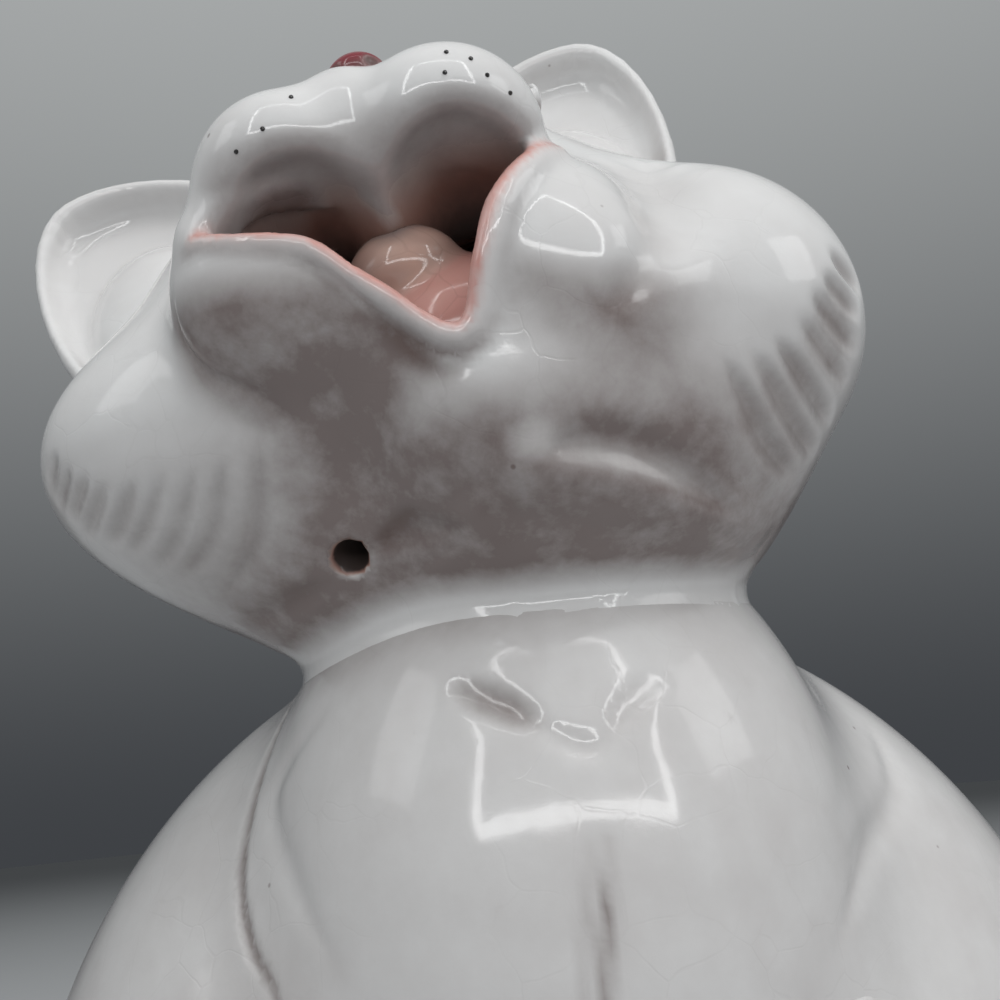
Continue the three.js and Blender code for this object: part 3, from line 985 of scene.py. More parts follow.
@dataclass
class FurStrokes:
    """A fan of tool strokes across a cheek, for the fur: angles about the cheek's Y axis.

    A pair gives the value at the first stroke and at the last.
    """

    cheek: Egg
    angle: Pair
    front: Pair
    reach: Pair
    lean: Pair
    count: int
    width: float
    depth: float
    soil: float
    fade: float = 1.3

    def marks(self, clay: Clay, dice: np.random.Generator) -> list[Groove]:
        """Lay the strokes on the cheek.

        Args:
            clay: The surface they are pressed into.
            dice: The source of their small differences.

        Returns:
            One groove for each stroke.
        """
        x, y, z = self.cheek.place
        wide, long, tall = (length / 2 for length in self.cheek.size)
        grooves = []
        for share in np.linspace(0.0, 1.0, self.count):
            angle, front, reach, lean = (
                np.interp(share, (0, 1), pair) for pair in (self.angle, self.front, self.reach, self.lean)
            )
            angle += dice.uniform(-1.5, 1.5)
            front += dice.uniform(-0.8, 0.8)
            reach *= dice.uniform(0.85, 1.15)
            path = []
            for along in (0.0, 0.5, 1.0):
                turn, depth = math.radians(angle + lean * along), front + reach * along
                girth = math.sqrt(max(0.05, 1.0 - ((depth - y) / long) ** 2))
                path.append((x + girth * wide * math.cos(turn), depth, z + girth * tall * math.sin(turn)))
            width, deep = self.width * dice.uniform(0.85, 1.15), self.depth * dice.uniform(0.8, 1.15)
            grooves.append(Groove(eased(clay.landed(path)), width, deep, self.soil, self.fade))
        return grooves


@dataclass
class Head:
    """The head with its mouth, ears, eyes and nose, drawn in a frame of its own."""

    middle: Triple = (-9.0, -12.0, 182.0)
    turns: Triple = (-8.0, -15.0, -24.0)
    skull: Egg = Egg((-5, 9, 9), (98, 84, 82))
    left_cheek: Egg = Egg((-34, -5, -2), (54.6, 45.5, 36.5), 16)
    right_cheek: Egg = Egg((31, -2.7, -7), (52, 49, 48.5))
    muzzle: Egg = Egg((0, -22, -2), (48, 44, 40))
    left_jowl: Egg = Egg((-18.2, -30, 0), (27.2, 28, 27.5))
    right_jowl: Egg = Egg((17, -22, -11), (28, 28, 28))
    chin: Egg = Egg((2, -18, -23), (26, 26, 20))
    throat: Egg = Egg((10, 6, -23.3), (61.6, 60, 34))
    nape: Egg = Egg((-16.5, 7.7, -16.5), (41, 40, 30))
    left_pad: Egg = Egg((-12, -37.5, 7.8), (25, 28, 19))
    right_pad: Egg = Egg((7.4, -37.5, 5.7), (26, 28, 20))
    scoop_drop: Triple = (0.0, 2.5, -9.8)
    scoop_size: Triple = (20, 30, 16)
    wing: tuple[Triple, Triple, Pair] = ((-16, -38.8, 5.6), (-24, -39.5, 2.5), (5.8, 3.2))
    philtrum: tuple[Triple, Triple, Pair] = ((-2.4, -45.2, 11.5), (-2.0, -30, 2.5), (3.2, 4.0))
    pad_fillet: float = 6.0
    wing_fillet: float = 5.0
    scoop_edge: float = 3.0
    pad_seat: float = 2.5
    nose: Egg = Egg((0.2, -43.8, 15.6), (8.5, 9, 5.6))
    tongue: Egg = Egg((-2.4, -28.5, -4), (15.5, 14, 13))
    gum: Egg = Egg((1.5, -22.5, -11.5), (28, 21, 22))
    eye: Egg = Egg((13.5, -22, 27), (19, 10, 12))
    throat_roll: tuple[Triple, ...] = (
        (4, -20, -31.6), (10.8, -15.7, -33.1), (18.5, -9, -34.5), (24.5, -1, -34.6), (27, 5, -32.5),
    )
    throat_roll_radius: float = 3.5
    throat_fillet: float = 4.0
    lid_gap: float = 3.0
    lid_wall: float = 1.3
    lid_fillet: float = 3.0
    lid_edge: float = 0.6
    mouth_front: float = -80.0
    mouth_back: float = -8.0
    mouth_edge: float = 2.2
    pocket_edge: float = 1.5
    palate_rise: float = 6.7
    palate_share: float = 0.6
    lip: tuple[Pair, ...] = (
        (-24.8, -0.5), (-19.7, -3.9), (-12.3, -6.9), (-7.3, -13.2), (1.0, -20.9),
        (6.3, -15.8), (10.3, -10.4), (16.8, -3.3), (20.5, 0.5),
    )
    lip_front: float = -34.0
    lip_radii: tuple[float, ...] = (0.4, 0.5, 0.7, 0.9, 1.2, 1.5, 1.7, 1.4, 0.6)
    lining_wall: float = 1.9
    lining_depth: float = 3.5
    lining_front: float = -30.0
    vent_place: Triple = (-21.6, -9.4, -27.9)
    vent_way: Triple = (-21.6, -6.6, -24.6)
    vent_radius: float = 2.25
    vent_chamber: float = 11.0
    vent_edge: float = 0.8
    vent_reach: Pair = (6.0, -10.0)
    ear_tip: Pair = (50.5, 64.5)
    ear_tip_round: float = 13.0
    ear_outer_root: Pair = (42.0, 3.0)
    ear_outer_bow: Pair = (17.0, 18.0)
    ear_inner_root: Pair = (4.0, 35.0)
    ear_inner_bow: Pair = (13.0, 22.0)
    ear_lobe: Pair = (37.0, 30.0)
    ear_lobe_size: Triple = (25.0, 10.0, 36.0)
    ear_thickness: float = 12.0
    ear_edge: float = 4.0
    ear_forward: float = 13.0
    ear_rim: float = 5.0
    ear_cup: float = 6.0
    ear_fillet: float = 4.0
    right_ear_shift: Pair = (-4.0, -6.0)
    fur_seed: int = 5
    # Where each tint is nothing and where it is full, in millimetres, or in widths along the lip
    pad_gap: Pair = (0.4, 1.4)
    blush_fade: Pair = (5.6, 2.1)
    cheek_clean: Pair = (5.0, 0.0)
    # Where the head takes less painted shade and grime
    pad_clean: Pair = (1.6, 0.6)
    lip_clean: Pair = (1.5, 0.5)
    nape_clean: Pair = (5.0, 20.0)
    neck_clean: Pair = (0.5, 5.5)
    # Ramps of the mouth's brown that deepens to painted shade, and of the painted shade inside the vent hole
    throat_soot: Pair = (1.5, 12.5)
    roof_soot: Pair = (-43.5, -25.5)
    scoop_soot: Pair = (0.0, -1.5)
    ridge_soot: Pair = (3.08, 1.68)
    vent_wall: Pair = (0.6, 0.2)
    vent_soot: Pair = (0.1, 0.6)
    seat: Seat = field(init=False)
    plain: Clay = field(init=False)
    pads: Clay = field(init=False)

    def __post_init__(self) -> None:
        """Work out the head's frame and the forms that the others stand on."""
        yaw, roll, pitch = self.turns
        self.seat = Seat(row(self.middle), turned(2, yaw) @ turned(1, roll) @ turned(0, pitch))
        joins = (
            (self.left_cheek, 10), (self.right_cheek, 10), (self.muzzle, 8), (self.left_jowl, 5),
            (self.right_jowl, 10), (self.chin, 8), (self.throat, 8), (self.nape, 8),
        )
        plain = self.skull.clay()
        for egg, fillet in joins:
            plain = plain.melt(egg.clay(), fillet)
        self.plain = Kept(plain)
        self.pads = Kept(self.whisker_pads())

    def whisker_pads(self) -> Clay:
        """Model the upper lip: two pads, scooped out below, with a ridge between them."""
        tip, corner, radii = self.wing
        clay = self.left_pad.clay().melt(self.right_pad.clay(), self.pad_fillet)
        clay = clay.melt(limb(tip, corner, *radii), self.wing_fillet)
        for pad in (self.left_pad, self.right_pad):
            place = tuple(row(pad.place) + row(self.scoop_drop))
            clay = clay.carve(Egg(place, self.scoop_size).clay(), self.scoop_edge)
        top, foot, radii = self.philtrum
        return clay.melt(limb(top, foot, *radii), self.pad_fillet)

    def mouth_outline(self) -> Points:
        """Draw the outline of the open mouth in X and Z."""
        left, right = self.lip[0], self.lip[-1]
        inner = [(corner[0] * self.palate_share, self.palate_rise) for corner in (right, left)]
        roof = bezier((right, *inner, left), 12)
        return np.concatenate([eased(self.lip, 4), roof[1:]])

    def lip_line(self) -> Points:
        """Lay the lower lip's line on the face."""
        outline = eased(self.lip, 4)
        front = np.full(len(outline), self.lip_front, np.float32)
        line = np.stack([outline[:, 0], front, outline[:, 1]], 1)
        for _ in range(LANDING_ROUNDS):
            line[:, 1] += np.clip(self.plain(line.copy()), -LANDING_STEP, LANDING_STEP)
        return line

    def folds(self) -> list[Groove]:
        """Lay the creases of throat, chin and lip on the head; their dark fill is grime and painted shade."""
        lines = [
            (2.4, 1.3, 0.1, [(5, -22.5, -32), (10, -21.5, -32), (16, -17, -32), (21, -10, -33),
                             (26, 0, -33)]),
            (1.3, 0.35, 0.2, [(-14.6, -41.2, -8.2), (-11.2, -39.9, -10.4), (-9.3, -38.2, -13.1),
                              (-8.2, -35.3, -16.4), (-7.3, -31.4, -19.9)]),
            (2.0, 1.3, 0.3, [(-16.5, -11.2, -29), (-12.2, -13.8, -30.4), (-6.8, -15.1, -33.3)]),
            (1.0, 0.9, 1.4, [(-18.1, -10.4, -28.9), (-15.1, -12.8, -28.8), (-11, -17, -29.6)]),
            (1.7, 1.0, 0.3, [(-25.4, -6.3, -28.0), (-32.8, -2.2, -26.3), (-38.6, 2.9, -23.3)]),
            (5.5, 3.0, 0.0, [(34.8, -21, 11), (31.1, -29.6, -5.9), (28.7, -31.2, -13.6)]),
            (3.2, 1.3, 0.0, [(31.1, -29.6, -5.9), (28.7, -31.2, -13.6), (26.1, -31.7, -17.1),
                             (21.7, -31.5, -20.7), (17.6, -31.4, -22)]),
            # Painted shade: a shallow groove under the lower lip, filled dark for the shade beneath the lip's
            # edge
            (2.0, 0.3, 2.2, [(-7.7, -37.5, -14.6), (-6.4, -34.6, -17.5), (-4.7, -32.8, -19.9),
                             (-2.6, -31.5, -23.1), (0.8, -31.8, -24.3)]),
            (1.2, 0.7, 0.1, [(-29.6, -37.6, -1), (-31.2, -32.1, -4.3), (-29.6, -29.6, -9),
                             (-24.8, -28.3, -13.2), (-21.6, -23.9, -17)]),
            (0.8, 0.4, 0.5, [(-8, -36.2, -18.3), (-3.1, -28.4, -29)]),
            (1.1, 0.35, 0.2, [(6.7, -32.2, -23.4), (5.5, -24, -31.9)]),
            (0.35, 0.4, 1.2, [(11.8, -25.4, -29.6), (9.8, -21.6, -31.8)]),
        ]
        return laid(self.plain, lines)

    def fur(self) -> list[Groove]:
        """Lay the fur strokes on both cheeks."""
        dice = np.random.default_rng(self.fur_seed)
        right = FurStrokes(self.right_cheek, (-23, -94), (-17.5, -17.5), (7, 18), (2, 12), 7, 1.7, 1.7, 0.55)
        left = FurStrokes(self.left_cheek, (186, 292), (-20.5, -21.5), (6, 17), (0, -34), 9, 1.15, 1.0, 0.45)
        return right.marks(self.plain, dice) + left.marks(self.plain, dice)

    def bones(self) -> Clay:
        """Model the head without its mouth: throat fold, eyelids and pads' carrier."""
        roll = coil(eased(self.throat_roll), self.throat_roll_radius)
        clay = self.plain.melt(roll, self.throat_fillet)
        for eye in (self.eye, self.eye.mirrored()):
            place = tuple(self.plain.landed([eye.place])[0])
            socket = Egg(place, eye.size)
            way = self.plain.slope(row(place)[None], 0.5)[0]
            gap = Egg(tuple(row(place) + way * self.lid_gap / np.linalg.norm(way)), eye.size)
            clay = clay.melt(socket.bigger(self.lid_wall).clay(), self.lid_fillet)
            clay = clay.carve(socket.bigger(2 * CLEARANCE).clay() | gap.clay(), self.lid_edge)
        return clay

    def pocket(self, growth: float) -> Clay:
        """Make the space of the open mouth."""
        back = self.mouth_back + growth
        return slab(self.mouth_outline(), self.mouth_front, back, self.pocket_edge, growth)

    def face(self) -> Clay:
        """Model the head with its open mouth, lip, pads and vent hole."""
        deep = self.pocket(self.lining_wall + CLEARANCE) & self.plain.grown(-self.lining_depth)
        clay = self.bones().carve(self.pocket(0.0) | deep, self.mouth_edge)
        line = self.lip_line()
        along, given = (np.linspace(0, 1, len(numbers)) for numbers in (line, self.lip_radii))
        radii = np.interp(along, given, self.lip_radii)
        clay = clay.melt(coil(line, radii), self.mouth_edge).melt(self.pads, self.pad_seat)
        return clay.carve(self.vent(), self.vent_edge)

    def vent(self) -> Clay:
        """Make the hole that lets hot air out of the head, with a dark chamber behind it."""
        way = row(self.vent_way) / np.linalg.norm(self.vent_way)
        start, end = (row(self.vent_place) + way * far for far in self.vent_reach)
        hole = limb(start, end, self.vent_radius, self.vent_radius)
        return hole | Egg(tuple(end), (self.vent_chamber,) * 3).clay()

    def lining(self) -> Clay:
        """Model the pocket of clay that closes the mouth off."""
        outer = self.pocket(self.lining_wall) & self.plain.grown(-self.lining_depth - CLEARANCE)
        behind = Clay(lambda points: self.lining_front - points[:, 1])
        return outer & -self.pocket(0.0) & -self.pads.grown(2 * CLEARANCE) & behind

    def tongue_clay(self) -> Clay:
        """Model the tongue with its middle furrow, on the gum that fills the foot of the mouth."""
        x, y, z = self.tongue.place
        tall = self.tongue.size[2] / 2
        path = [(x, y - 10, z + 1), (x - 0.5, y - 4, z + tall), (x, y + 6, z + tall)]
        clay = self.tongue.clay().pressed([Groove(eased(path), 1.6, 0.9)]).melt(self.gum.clay(), 1.5)
        return clay & self.pocket(-CLEARANCE) & -self.pads.grown(2 * CLEARANCE)

    def nose_clay(self) -> Clay:
        """Model the nose with its nostrils."""
        x, y, z = self.nose.place
        clay = self.nose.clay()
        for side in Side:
            nostril = Egg((x + side.value * 3.0, y - 3.6, z - 1.2), (2.6, 3.0, 1.8), side.value * 25)
            clay = clay.carve(nostril.clay(), 0.8)
        return clay & -self.pads.grown(-1.2)

    def ear_outline(self, side: Side, margin: float) -> Points:
        """Draw an ear's outline in X and Z from the skull's middle.

        Args:
            side: Which ear.
            margin: How far the outline is drawn in.

        Returns:
            The points of the closed outline.
        """
        middle = np.array(self.ear_lobe)

        def drawn_in(place: Pair) -> np.ndarray:
            """Move a corner towards the lobe by the margin."""
            corner = np.array(place)
            return corner + (middle - corner) * margin / np.linalg.norm(middle - corner)

        tip, outer, inner = (drawn_in(p) for p in (self.ear_tip, self.ear_outer_root, self.ear_inner_root))
        along = (tip - middle) / np.linalg.norm(tip - middle)
        across = np.array((along[1], -along[0])) * (self.ear_tip_round - margin / 2)
        up = bezier((outer, outer + self.ear_outer_bow, tip + across, tip), 12)
        down = bezier((tip, tip - across, inner + self.ear_inner_bow, inner), 12)
        points = np.concatenate([up, down, inner[None]])
        points[:, 0] *= side.value
        return points

    def ear(self, side: Side) -> Clay:
        """Model one ear: a slab with a cupped front, a rolled rim and a lobe."""
        x, y, z = self.skull.place
        shift = self.right_ear_shift if side is Side.RIGHT else (0.0, 0.0)
        offset = np.array((x + shift[0], z + shift[1]))
        front = y - self.ear_forward
        whole = slab(self.ear_outline(side, 0) + offset, front, front + self.ear_thickness, self.ear_edge)
        cup = slab(self.ear_outline(side, self.ear_rim) + offset, front - 20, front + self.ear_cup, 4.0)
        lobe_x, lobe_z = self.ear_lobe
        place = (side.value * lobe_x + offset[0], front + self.ear_cup, lobe_z + offset[1])
        clay = whole.carve(cup, 3.0).melt(Egg(place, self.ear_lobe_size).clay(), 2.5)
        return luted(clay, self.plain, self.ear_fillet)

    def gums(self, local: Points) -> Values:
        """Give 1 inside the mouth below the pads and less around it."""
        close = np.exp(-np.maximum(self.pocket(0.0)(local), 0.0) / 0.45)
        return close * ramp(self.pads(local), *self.pad_gap)

    def blush(self, points: Points) -> Values:
        """Tint the lip's inner edge and the gum pink."""
        local = self.seat.local(points)
        return self.gums(local) * ramp(line_distance(local, self.lip_line()), *self.blush_fade)

    def gum_blush(self, points: Points) -> Values:
        """Tint the gum around the tongue."""
        return self.tongue.clay()(self.seat.local(points)) / 1.2

    def hold(self, points: Points) -> Values:
        """Give how much painted shade and grime the glaze takes: less on the cheeks, the pads, the lip and
        the nape.
        """
        local = self.seat.local(points)
        cheeks = np.minimum(self.left_cheek.clay()(local), self.right_cheek.clay()(local))
        most, more = 0.75, 0.85
        spared = most * ramp(cheeks, *self.cheek_clean) + 0.5 * ramp(self.pads(local), *self.pad_clean)
        wide = 1.7 + ramp(local[:, 0], 0.0, 6.0)
        lip = more * ramp(line_distance(local, self.lip_line()) / wide, *self.lip_clean)
        nape = more * ramp(points[:, 1], *self.nape_clean)
        return 1.0 - np.maximum(np.maximum(np.minimum(spared, most), nape), lip)

    def soot(self, points: Points) -> Values:
        """Tint the back of the mouth and its roof brown, deepening to painted shade, and paint the vent
        hole's depth near-black as painted shade.
        """
        local = self.seat.local(points)
        sunk = -self.plain(local)
        # Painted shade: the brown deepens towards black with depth in the mouth and towards the back of its
        # roof
        throat = self.gums(local) * ramp(sunk, *self.throat_soot)
        roof = ramp(self.pads(local), *self.pad_gap[::-1]) * ramp(local[:, 1], *self.roof_soot)
        whole = np.minimum(self.left_pad.clay()(local), self.right_pad.clay()(local))
        top, foot, radii = self.philtrum
        ridge = limb(top, foot, *radii)(local)
        roof *= np.maximum(ramp(whole, *self.scoop_soot), ramp(ridge, *self.ridge_soot))
        # Painted shade: the vent hole's wall goes near black with depth
        hole = ramp(np.abs(self.vent()(local)), *self.vent_wall) * ramp(sunk, *self.vent_soot)
        return np.maximum(np.maximum(throat, roof), hole)

    def bulk(self) -> Clay:
        """Give the head's whole form, for working out hollows."""
        clay = self.plain.carve(self.pocket(0.0), self.mouth_edge)
        return clay.melt(self.pads, self.pad_seat).seated(self.seat)

    def pieces(self, torso: Clay) -> list[Piece]:
        """List the head's pieces.

        Args:
            torso: The form that carries the head.

        Returns:
            The pieces.
        """
        seat = self.seat

        def kept(points: Points) -> Values:
            """Give the head's share of painted shade and grime, and none where it meets the neck."""
            return self.hold(points) * ramp(torso(points), *self.neck_clean)

        face = luted(self.face().seated(seat), torso, 5.0)
        marks = [mark.seated(seat) for mark in self.folds() + self.fur()]
        tints, pink = {"blush": self.blush, "soot": self.soot}, {"blush": self.gum_blush}
        tongue = self.tongue_clay().seated(seat)
        parts = [
            Piece("glazed_head", ("head_shell",), Slot.WHITE, face, 0.8, marks, tints, 1.0, kept),
            Piece("mouth_pocket", ("mouth_lining",), Slot.MOUTH, self.lining().seated(seat), 0.6, (), tints),
            Piece("glazed_tongue", ("tongue",), Slot.TONGUE, tongue, 0.45, (), pink),
            Piece("glazed_nose", ("nose_pad",), Slot.NOSE, self.nose_clay().seated(seat), 0.35),
        ]
        for side in Side:
            eye = self.eye.on(side)
            ball = Egg(tuple(self.plain.landed([eye.place])[0]), eye.size).clay().seated(seat)
            ear = self.ear(side).seated(seat)
            parts.append(Piece(f"{side.word}_glazed_eye", (f"{side.word}_eye",), Slot.EYE, ball, 0.5))
            parts.append(Piece(f"{side.word}_glazed_ear", (f"{side.word}_ear",), Slot.WHITE, ear, 0.7))
        return parts


# The body

@dataclass
class Body:
    """The trunk with its neck and chest, the base, the legs and the haunches."""

    chest: Egg = Egg((0, -2, 108.5), (86, 84, 116))
    chest_blend: float = 8.0
    trunk: Egg = Egg((2.5, 20, 62.5), (168, 112, 180))
    base_height: float = 7.0
    shoulder_place: Triple = (19, -16, 84)
    shoulder_radius: float = 20.0
    ankle_place: Triple = (16.5, -40, 16)
    ankle_radius: float = 16.0
    paw: Egg = Egg((16.5, -53, 11), (31, 42, 24))
    haunch: Egg = Egg((54, -6, 42), (60, 92, 88))
    hind_paw: Egg = Egg((54, -48, 12), (32, 54, 26))
    leg_gap: float = 0.2
    leg_edge: float = 3.0
    paw_fillet: float = 6.0
    hind_fillet: float = 4.0
    fillet: float = 5.0
    shoulder_fillet: float = 6.0
    # How much painted shade and grime the trunk takes, more to the left, and an even darkening of trunk and
    # legs
    dirt: float = 0.8
    dirt_fade: Pair = (14.0, -14.0)
    least_dirt: float = 0.1
    worn: float = 0.17
    torso: Clay = field(init=False)

    def __post_init__(self) -> None:
        """Work out the trunk that everything stands on."""
        self.torso = Kept(self.chest.clay().melt(self.trunk.clay(), self.chest_blend))

    def chest_marks(self) -> list[Groove]:
        """Lay the tool marks of chest and flanks on the trunk."""
        lines = [
            (1.8, 1.6, 0.6, [(-14.9, -33.6, 137.8), (-9.8, -36.3, 135.1), (-5.4, -37.9, 132.2)]),
            (1.3, 0.9, 0.1, [(-5.4, -38, 131.9), (-1.5, -39, 129.4), (1.6, -39, 129.4)]),
            (1.1, 0.8, 0.1, [(10.7, -35.6, 136.8), (5.6, -37.7, 133.5), (1.6, -38.9, 129.6)]),
            (0.9, 0.5, 0.1, [(9, -36.5, 138), (4.5, -38, 134.5), (2.2, -38, 131.5)]),
            (1.1, 0.5, 0.2, [(6.7, -37, 132.9), (3.6, -39, 127.5)]),
            (0.9, 0.4, 0.5, [(-1.5, -41.1, 119.3), (-4.1, -44.1, 103.5), (-5, -45, 88)]),
            (0.75, 0.7, 1.3, [(0.4, -41.2, 119.2), (-1.6, -43.8, 103.2), (-2, -45, 88)]),
            (0.8, 0.8, 1.5, [(-33.1, 1.1, 139.9), (-37.5, -3.4, 132.9), (-42.2, -9.8, 122.6),
                             (-43.3, -14.1, 115.2), (-42.3, -19.7, 108.4), (-41.2, -25.8, 104.1),
                             (-40, -31, 96)]),
            (2.2, 0.5, 0.0, [(-28.8, -20.5, 135.8), (-35.7, -13.1, 126.1), (-37.1, -24.5, 116.8),
                             (-35.9, -37.9, 106.1)]),
            (0.55, 0.12, 7.0, [(17.5, -36.2, 132.4), (18.0, -36.2, 131.7)]),
            (2.2, 0.7, 0.1, [(48.2, -0.2, 127.2), (46.6, -9.7, 118.7), (40, -28, 114), (33, -40, 104)]),
        ]
        return laid(self.torso, lines)

    def hold(self, points: Points) -> Values:
        """Give how much painted shade and grime the trunk's glaze takes: most on the left, away from the
        stronger lamps.
        """
        return self.dirt * np.maximum(ramp(points[:, 0], *self.dirt_fade), self.least_dirt)

    def toes(self, paw: Egg, count: int = 3) -> list[Groove]:
        """Lay the grooves between a paw's toes."""
        clay = paw.clay()
        x, y, z = paw.place
        wide, long, tall = (length / 2 for length in paw.size)
        grooves = []
        for number in range(count):
            off = (number - (count - 1) / 2) * wide * 0.52
            ends = [(x + off, y - long * 0.98, z - tall * 0.5), (x + off, y - long * 0.85, z + tall * 0.3),
                    (x + off * 0.9, y - long * 0.4, z + tall * 0.9)]
            grooves.append(Groove(eased(clay.landed(ends)), 1.5, 1.5))
        return grooves

    def foreleg(self, side: Side) -> tuple[Clay, list[Groove]]:
        """Model one foreleg and its toe grooves."""
        sign = side.value
        places = [(sign * x, y, z) for x, y, z in (self.shoulder_place, self.ankle_place)]
        paw = self.paw.on(side)
        leg = limb(*places, self.shoulder_radius, self.ankle_radius).melt(paw.clay(), self.paw_fillet)
        beyond = Clay(lambda points: sign * points[:, 0] - self.leg_gap)
        return leg.carve(beyond, self.leg_edge) & above(0.0), self.toes(paw)

    def pieces(self, head: Clay) -> list[Piece]:
        """List the body's pieces.

        Args:
            head: The form that sits on the neck.

        Returns:
            The pieces.
        """
        torso = self.torso & above(self.base_height + 0.2) & -head.grown(-4.0)
        base = self.torso.grown(-0.4) & above(0.0) & -above(self.base_height)
        marks = self.chest_marks()
        dirt = {"kept": self.hold, "worn": self.worn}
        parts = [
            Piece("glazed_torso", ("torso_shell",), Slot.WHITE, torso, 1.15, marks, **dirt),
            Piece("clay_base", ("base_slab",), Slot.CLAY, base, 0.9),
        ]
        for side in Side:
            leg, toes = self.foreleg(side)
            thigh, paw = self.haunch.on(side).clay(), self.hind_paw.on(side)
            foot = luted(paw.clay(), thigh, self.hind_fillet) & above(0.0)
            forms = {
                "foreleg": (luted(leg, self.torso, self.shoulder_fillet) & above(0.0), toes),
                "haunch": (luted(thigh, self.torso, self.fillet) & -leg.grown(0.1) & above(0.0), []),
                "hind_paw": (foot, self.toes(paw)),
            }
            for word, (clay, lines) in forms.items():
                name = f"{side.word}_{word}"
                room = 5.0 + (self.shoulder_fillet if word == "foreleg" else 0.0)
                shown = f"{side.word}_glazed_{word}"
                parts.append(Piece(shown, (name,), Slot.WHITE, clay, 1.0, lines, worn=self.worn, room=room))
        return parts

    def bulk(self) -> Clay:
        """Give the body's whole form, for working out hollows."""
        clay = self.torso
        for side in Side:
            hind = self.haunch.on(side).clay(), self.hind_paw.on(side).clay()
            clay = clay.melt(self.foreleg(side)[0], self.fillet) | hind[0] | hind[1]
        return clay | -above(0.0)


# Forms from Geometry Nodes

class Pattern(Tree):
    """A Geometry Nodes tree with named inputs that is turned into a plain mesh."""

    KINDS = {float: "NodeSocketFloat", int: "NodeSocketInt", tuple: "NodeSocketVector"}

    def __init__(self, name: str, sizes: dict[str, Any]) -> None:
        """Start a tree.

        Args:
            name: The tree's name.
            sizes: The named inputs and their values.
        """
        group = bpy.data.node_groups.new(name, "GeometryNodeTree")
        super().__init__(group)
        group.interface.new_socket("Geometry", in_out="INPUT", socket_type="NodeSocketGeometry")
        for word, value in sizes.items():
            group.interface.new_socket(word, in_out="INPUT", socket_type=self.KINDS[type(value)])
        group.interface.new_socket("Geometry", in_out="OUTPUT", socket_type="NodeSocketGeometry")
        self.sizes = sizes
        self.start = self.add("NodeGroupInput", output="Geometry")

    def size(self, word: str) -> Wire:
        """Give a named input."""
        return self.start.sibling(word)

    def mesh(self, source: bpy.types.Mesh, shape: Wire, material: bpy.types.Material) -> bpy.types.Mesh:
        """Close the tree, run it on a mesh and keep the result.

        Args:
            source: The mesh that the tree works on.
            shape: The tree's last geometry.
            material: The finish of the result.

        Returns:
            A plain mesh.
        """
        real = self.add("GeometryNodeRealizeInstances", None, {0: shape})
        done = self.add("GeometryNodeSetMaterial", None, {"Geometry": real, "Material": material})
        self.add("NodeGroupOutput", None, {0: done})
        carrier = shown(f"{self.nodes.name}_source", source)
        modifier = carrier.modifiers.new(self.nodes.name, "NODES")
        modifier.node_group = self.nodes
        for item in self.nodes.interface.items_tree:
            if item.in_out == "INPUT" and item.name in self.sizes:
                modifier[item.identifier] = self.sizes[item.name]
        graph = bpy.context.evaluated_depsgraph_get()
        result = bpy.data.meshes.new_from_object(carrier.evaluated_get(graph))
        carrier.modifiers.remove(modifier)
        bpy.data.objects.remove(carrier)
        return result


@dataclass
class Tail:
    """The tail that lies round the foot of the trunk."""

    radius: float = 9.5
    standoff: float = 7.0
    root_depth: float = 22.0
    start: float = -30.0
    end: float = 96.0
    tip_share: float = 0.86
    turns: int = 90
    sides: int = 28
    knots: int = 24
    root_share: float = 0.15
    search: float = 150.0

    def line(self, torso: Clay, middle: Triple) -> Points:
        """Lay the tail's line on the ground around the trunk."""
        path = []
        for angle in np.radians(np.linspace(self.start, self.end, self.knots)):
            way = row((math.sin(angle), math.cos(angle), 0.0))
            near, far = 0.0, self.search
            for _ in range(HALVINGS):
                half = (near + far) / 2
                point = row((middle[0], middle[1], self.radius)) + way * half
                near, far = (half, far) if torso(point[None])[0] < 0 else (near, half)
            share = (angle - math.radians(self.start)) / math.radians(self.end - self.start)
            sunk = self.root_depth * max(0.0, 1.0 - share / self.root_share) ** 2
            path.append(row((middle[0], middle[1], self.radius)) + way * (near + self.standoff - sunk))
        return np.array(path)

    def build(self, body: Body, materials: Materials) -> None:
        """Sweep the tail along its line and put it in the frame."""
        points = eased(self.line(body.torso, body.trunk.place), 3) * MILLIMETRE
        source = bpy.data.meshes.new("tail_line")
        source.from_pydata(points.tolist(), [(i, i + 1) for i in range(len(points) - 1)], [])
        sizes = {"Radius": self.radius * MILLIMETRE, "Tip share": self.tip_share}
        tree = Pattern("tail_sweep", sizes | {"Stations": self.turns, "Sides": self.sides})
        curve = tree.add("GeometryNodeMeshToCurve", None, {"Mesh": tree.start})
        curve = tree.add("GeometryNodeResampleCurve", None, {"Curve": curve, "Count": tree.size("Stations")})
        share = tree.add("GeometryNodeSplineParameter", output="Factor")
        past = ((share - tree.size("Tip share")) / (1.0 - tree.size("Tip share"))).maths("MAXIMUM", 0.0)
        swell = (1.0 - past * past).maths("MAXIMUM", 0.0004).maths("SQRT") * (1.0 - 0.12 * share)
        ring = {"Radius": tree.size("Radius"), "Resolution": tree.size("Sides")}
        profile = tree.add("GeometryNodeCurvePrimitiveCircle", None, ring)
        sweep = {"Curve": curve, "Profile Curve": profile, "Scale": swell, "Fill Caps": True}
        tube = tree.add("GeometryNodeCurveToMesh", None, sweep)
        tube = tree.add("GeometryNodeSetShadeSmooth", None, {"Geometry": tube})
        mesh = tree.mesh(source, tube, materials[Slot.WHITE])
        place_piece(mesh, "glazed_tail", ("tail",), Slot.WHITE, materials)


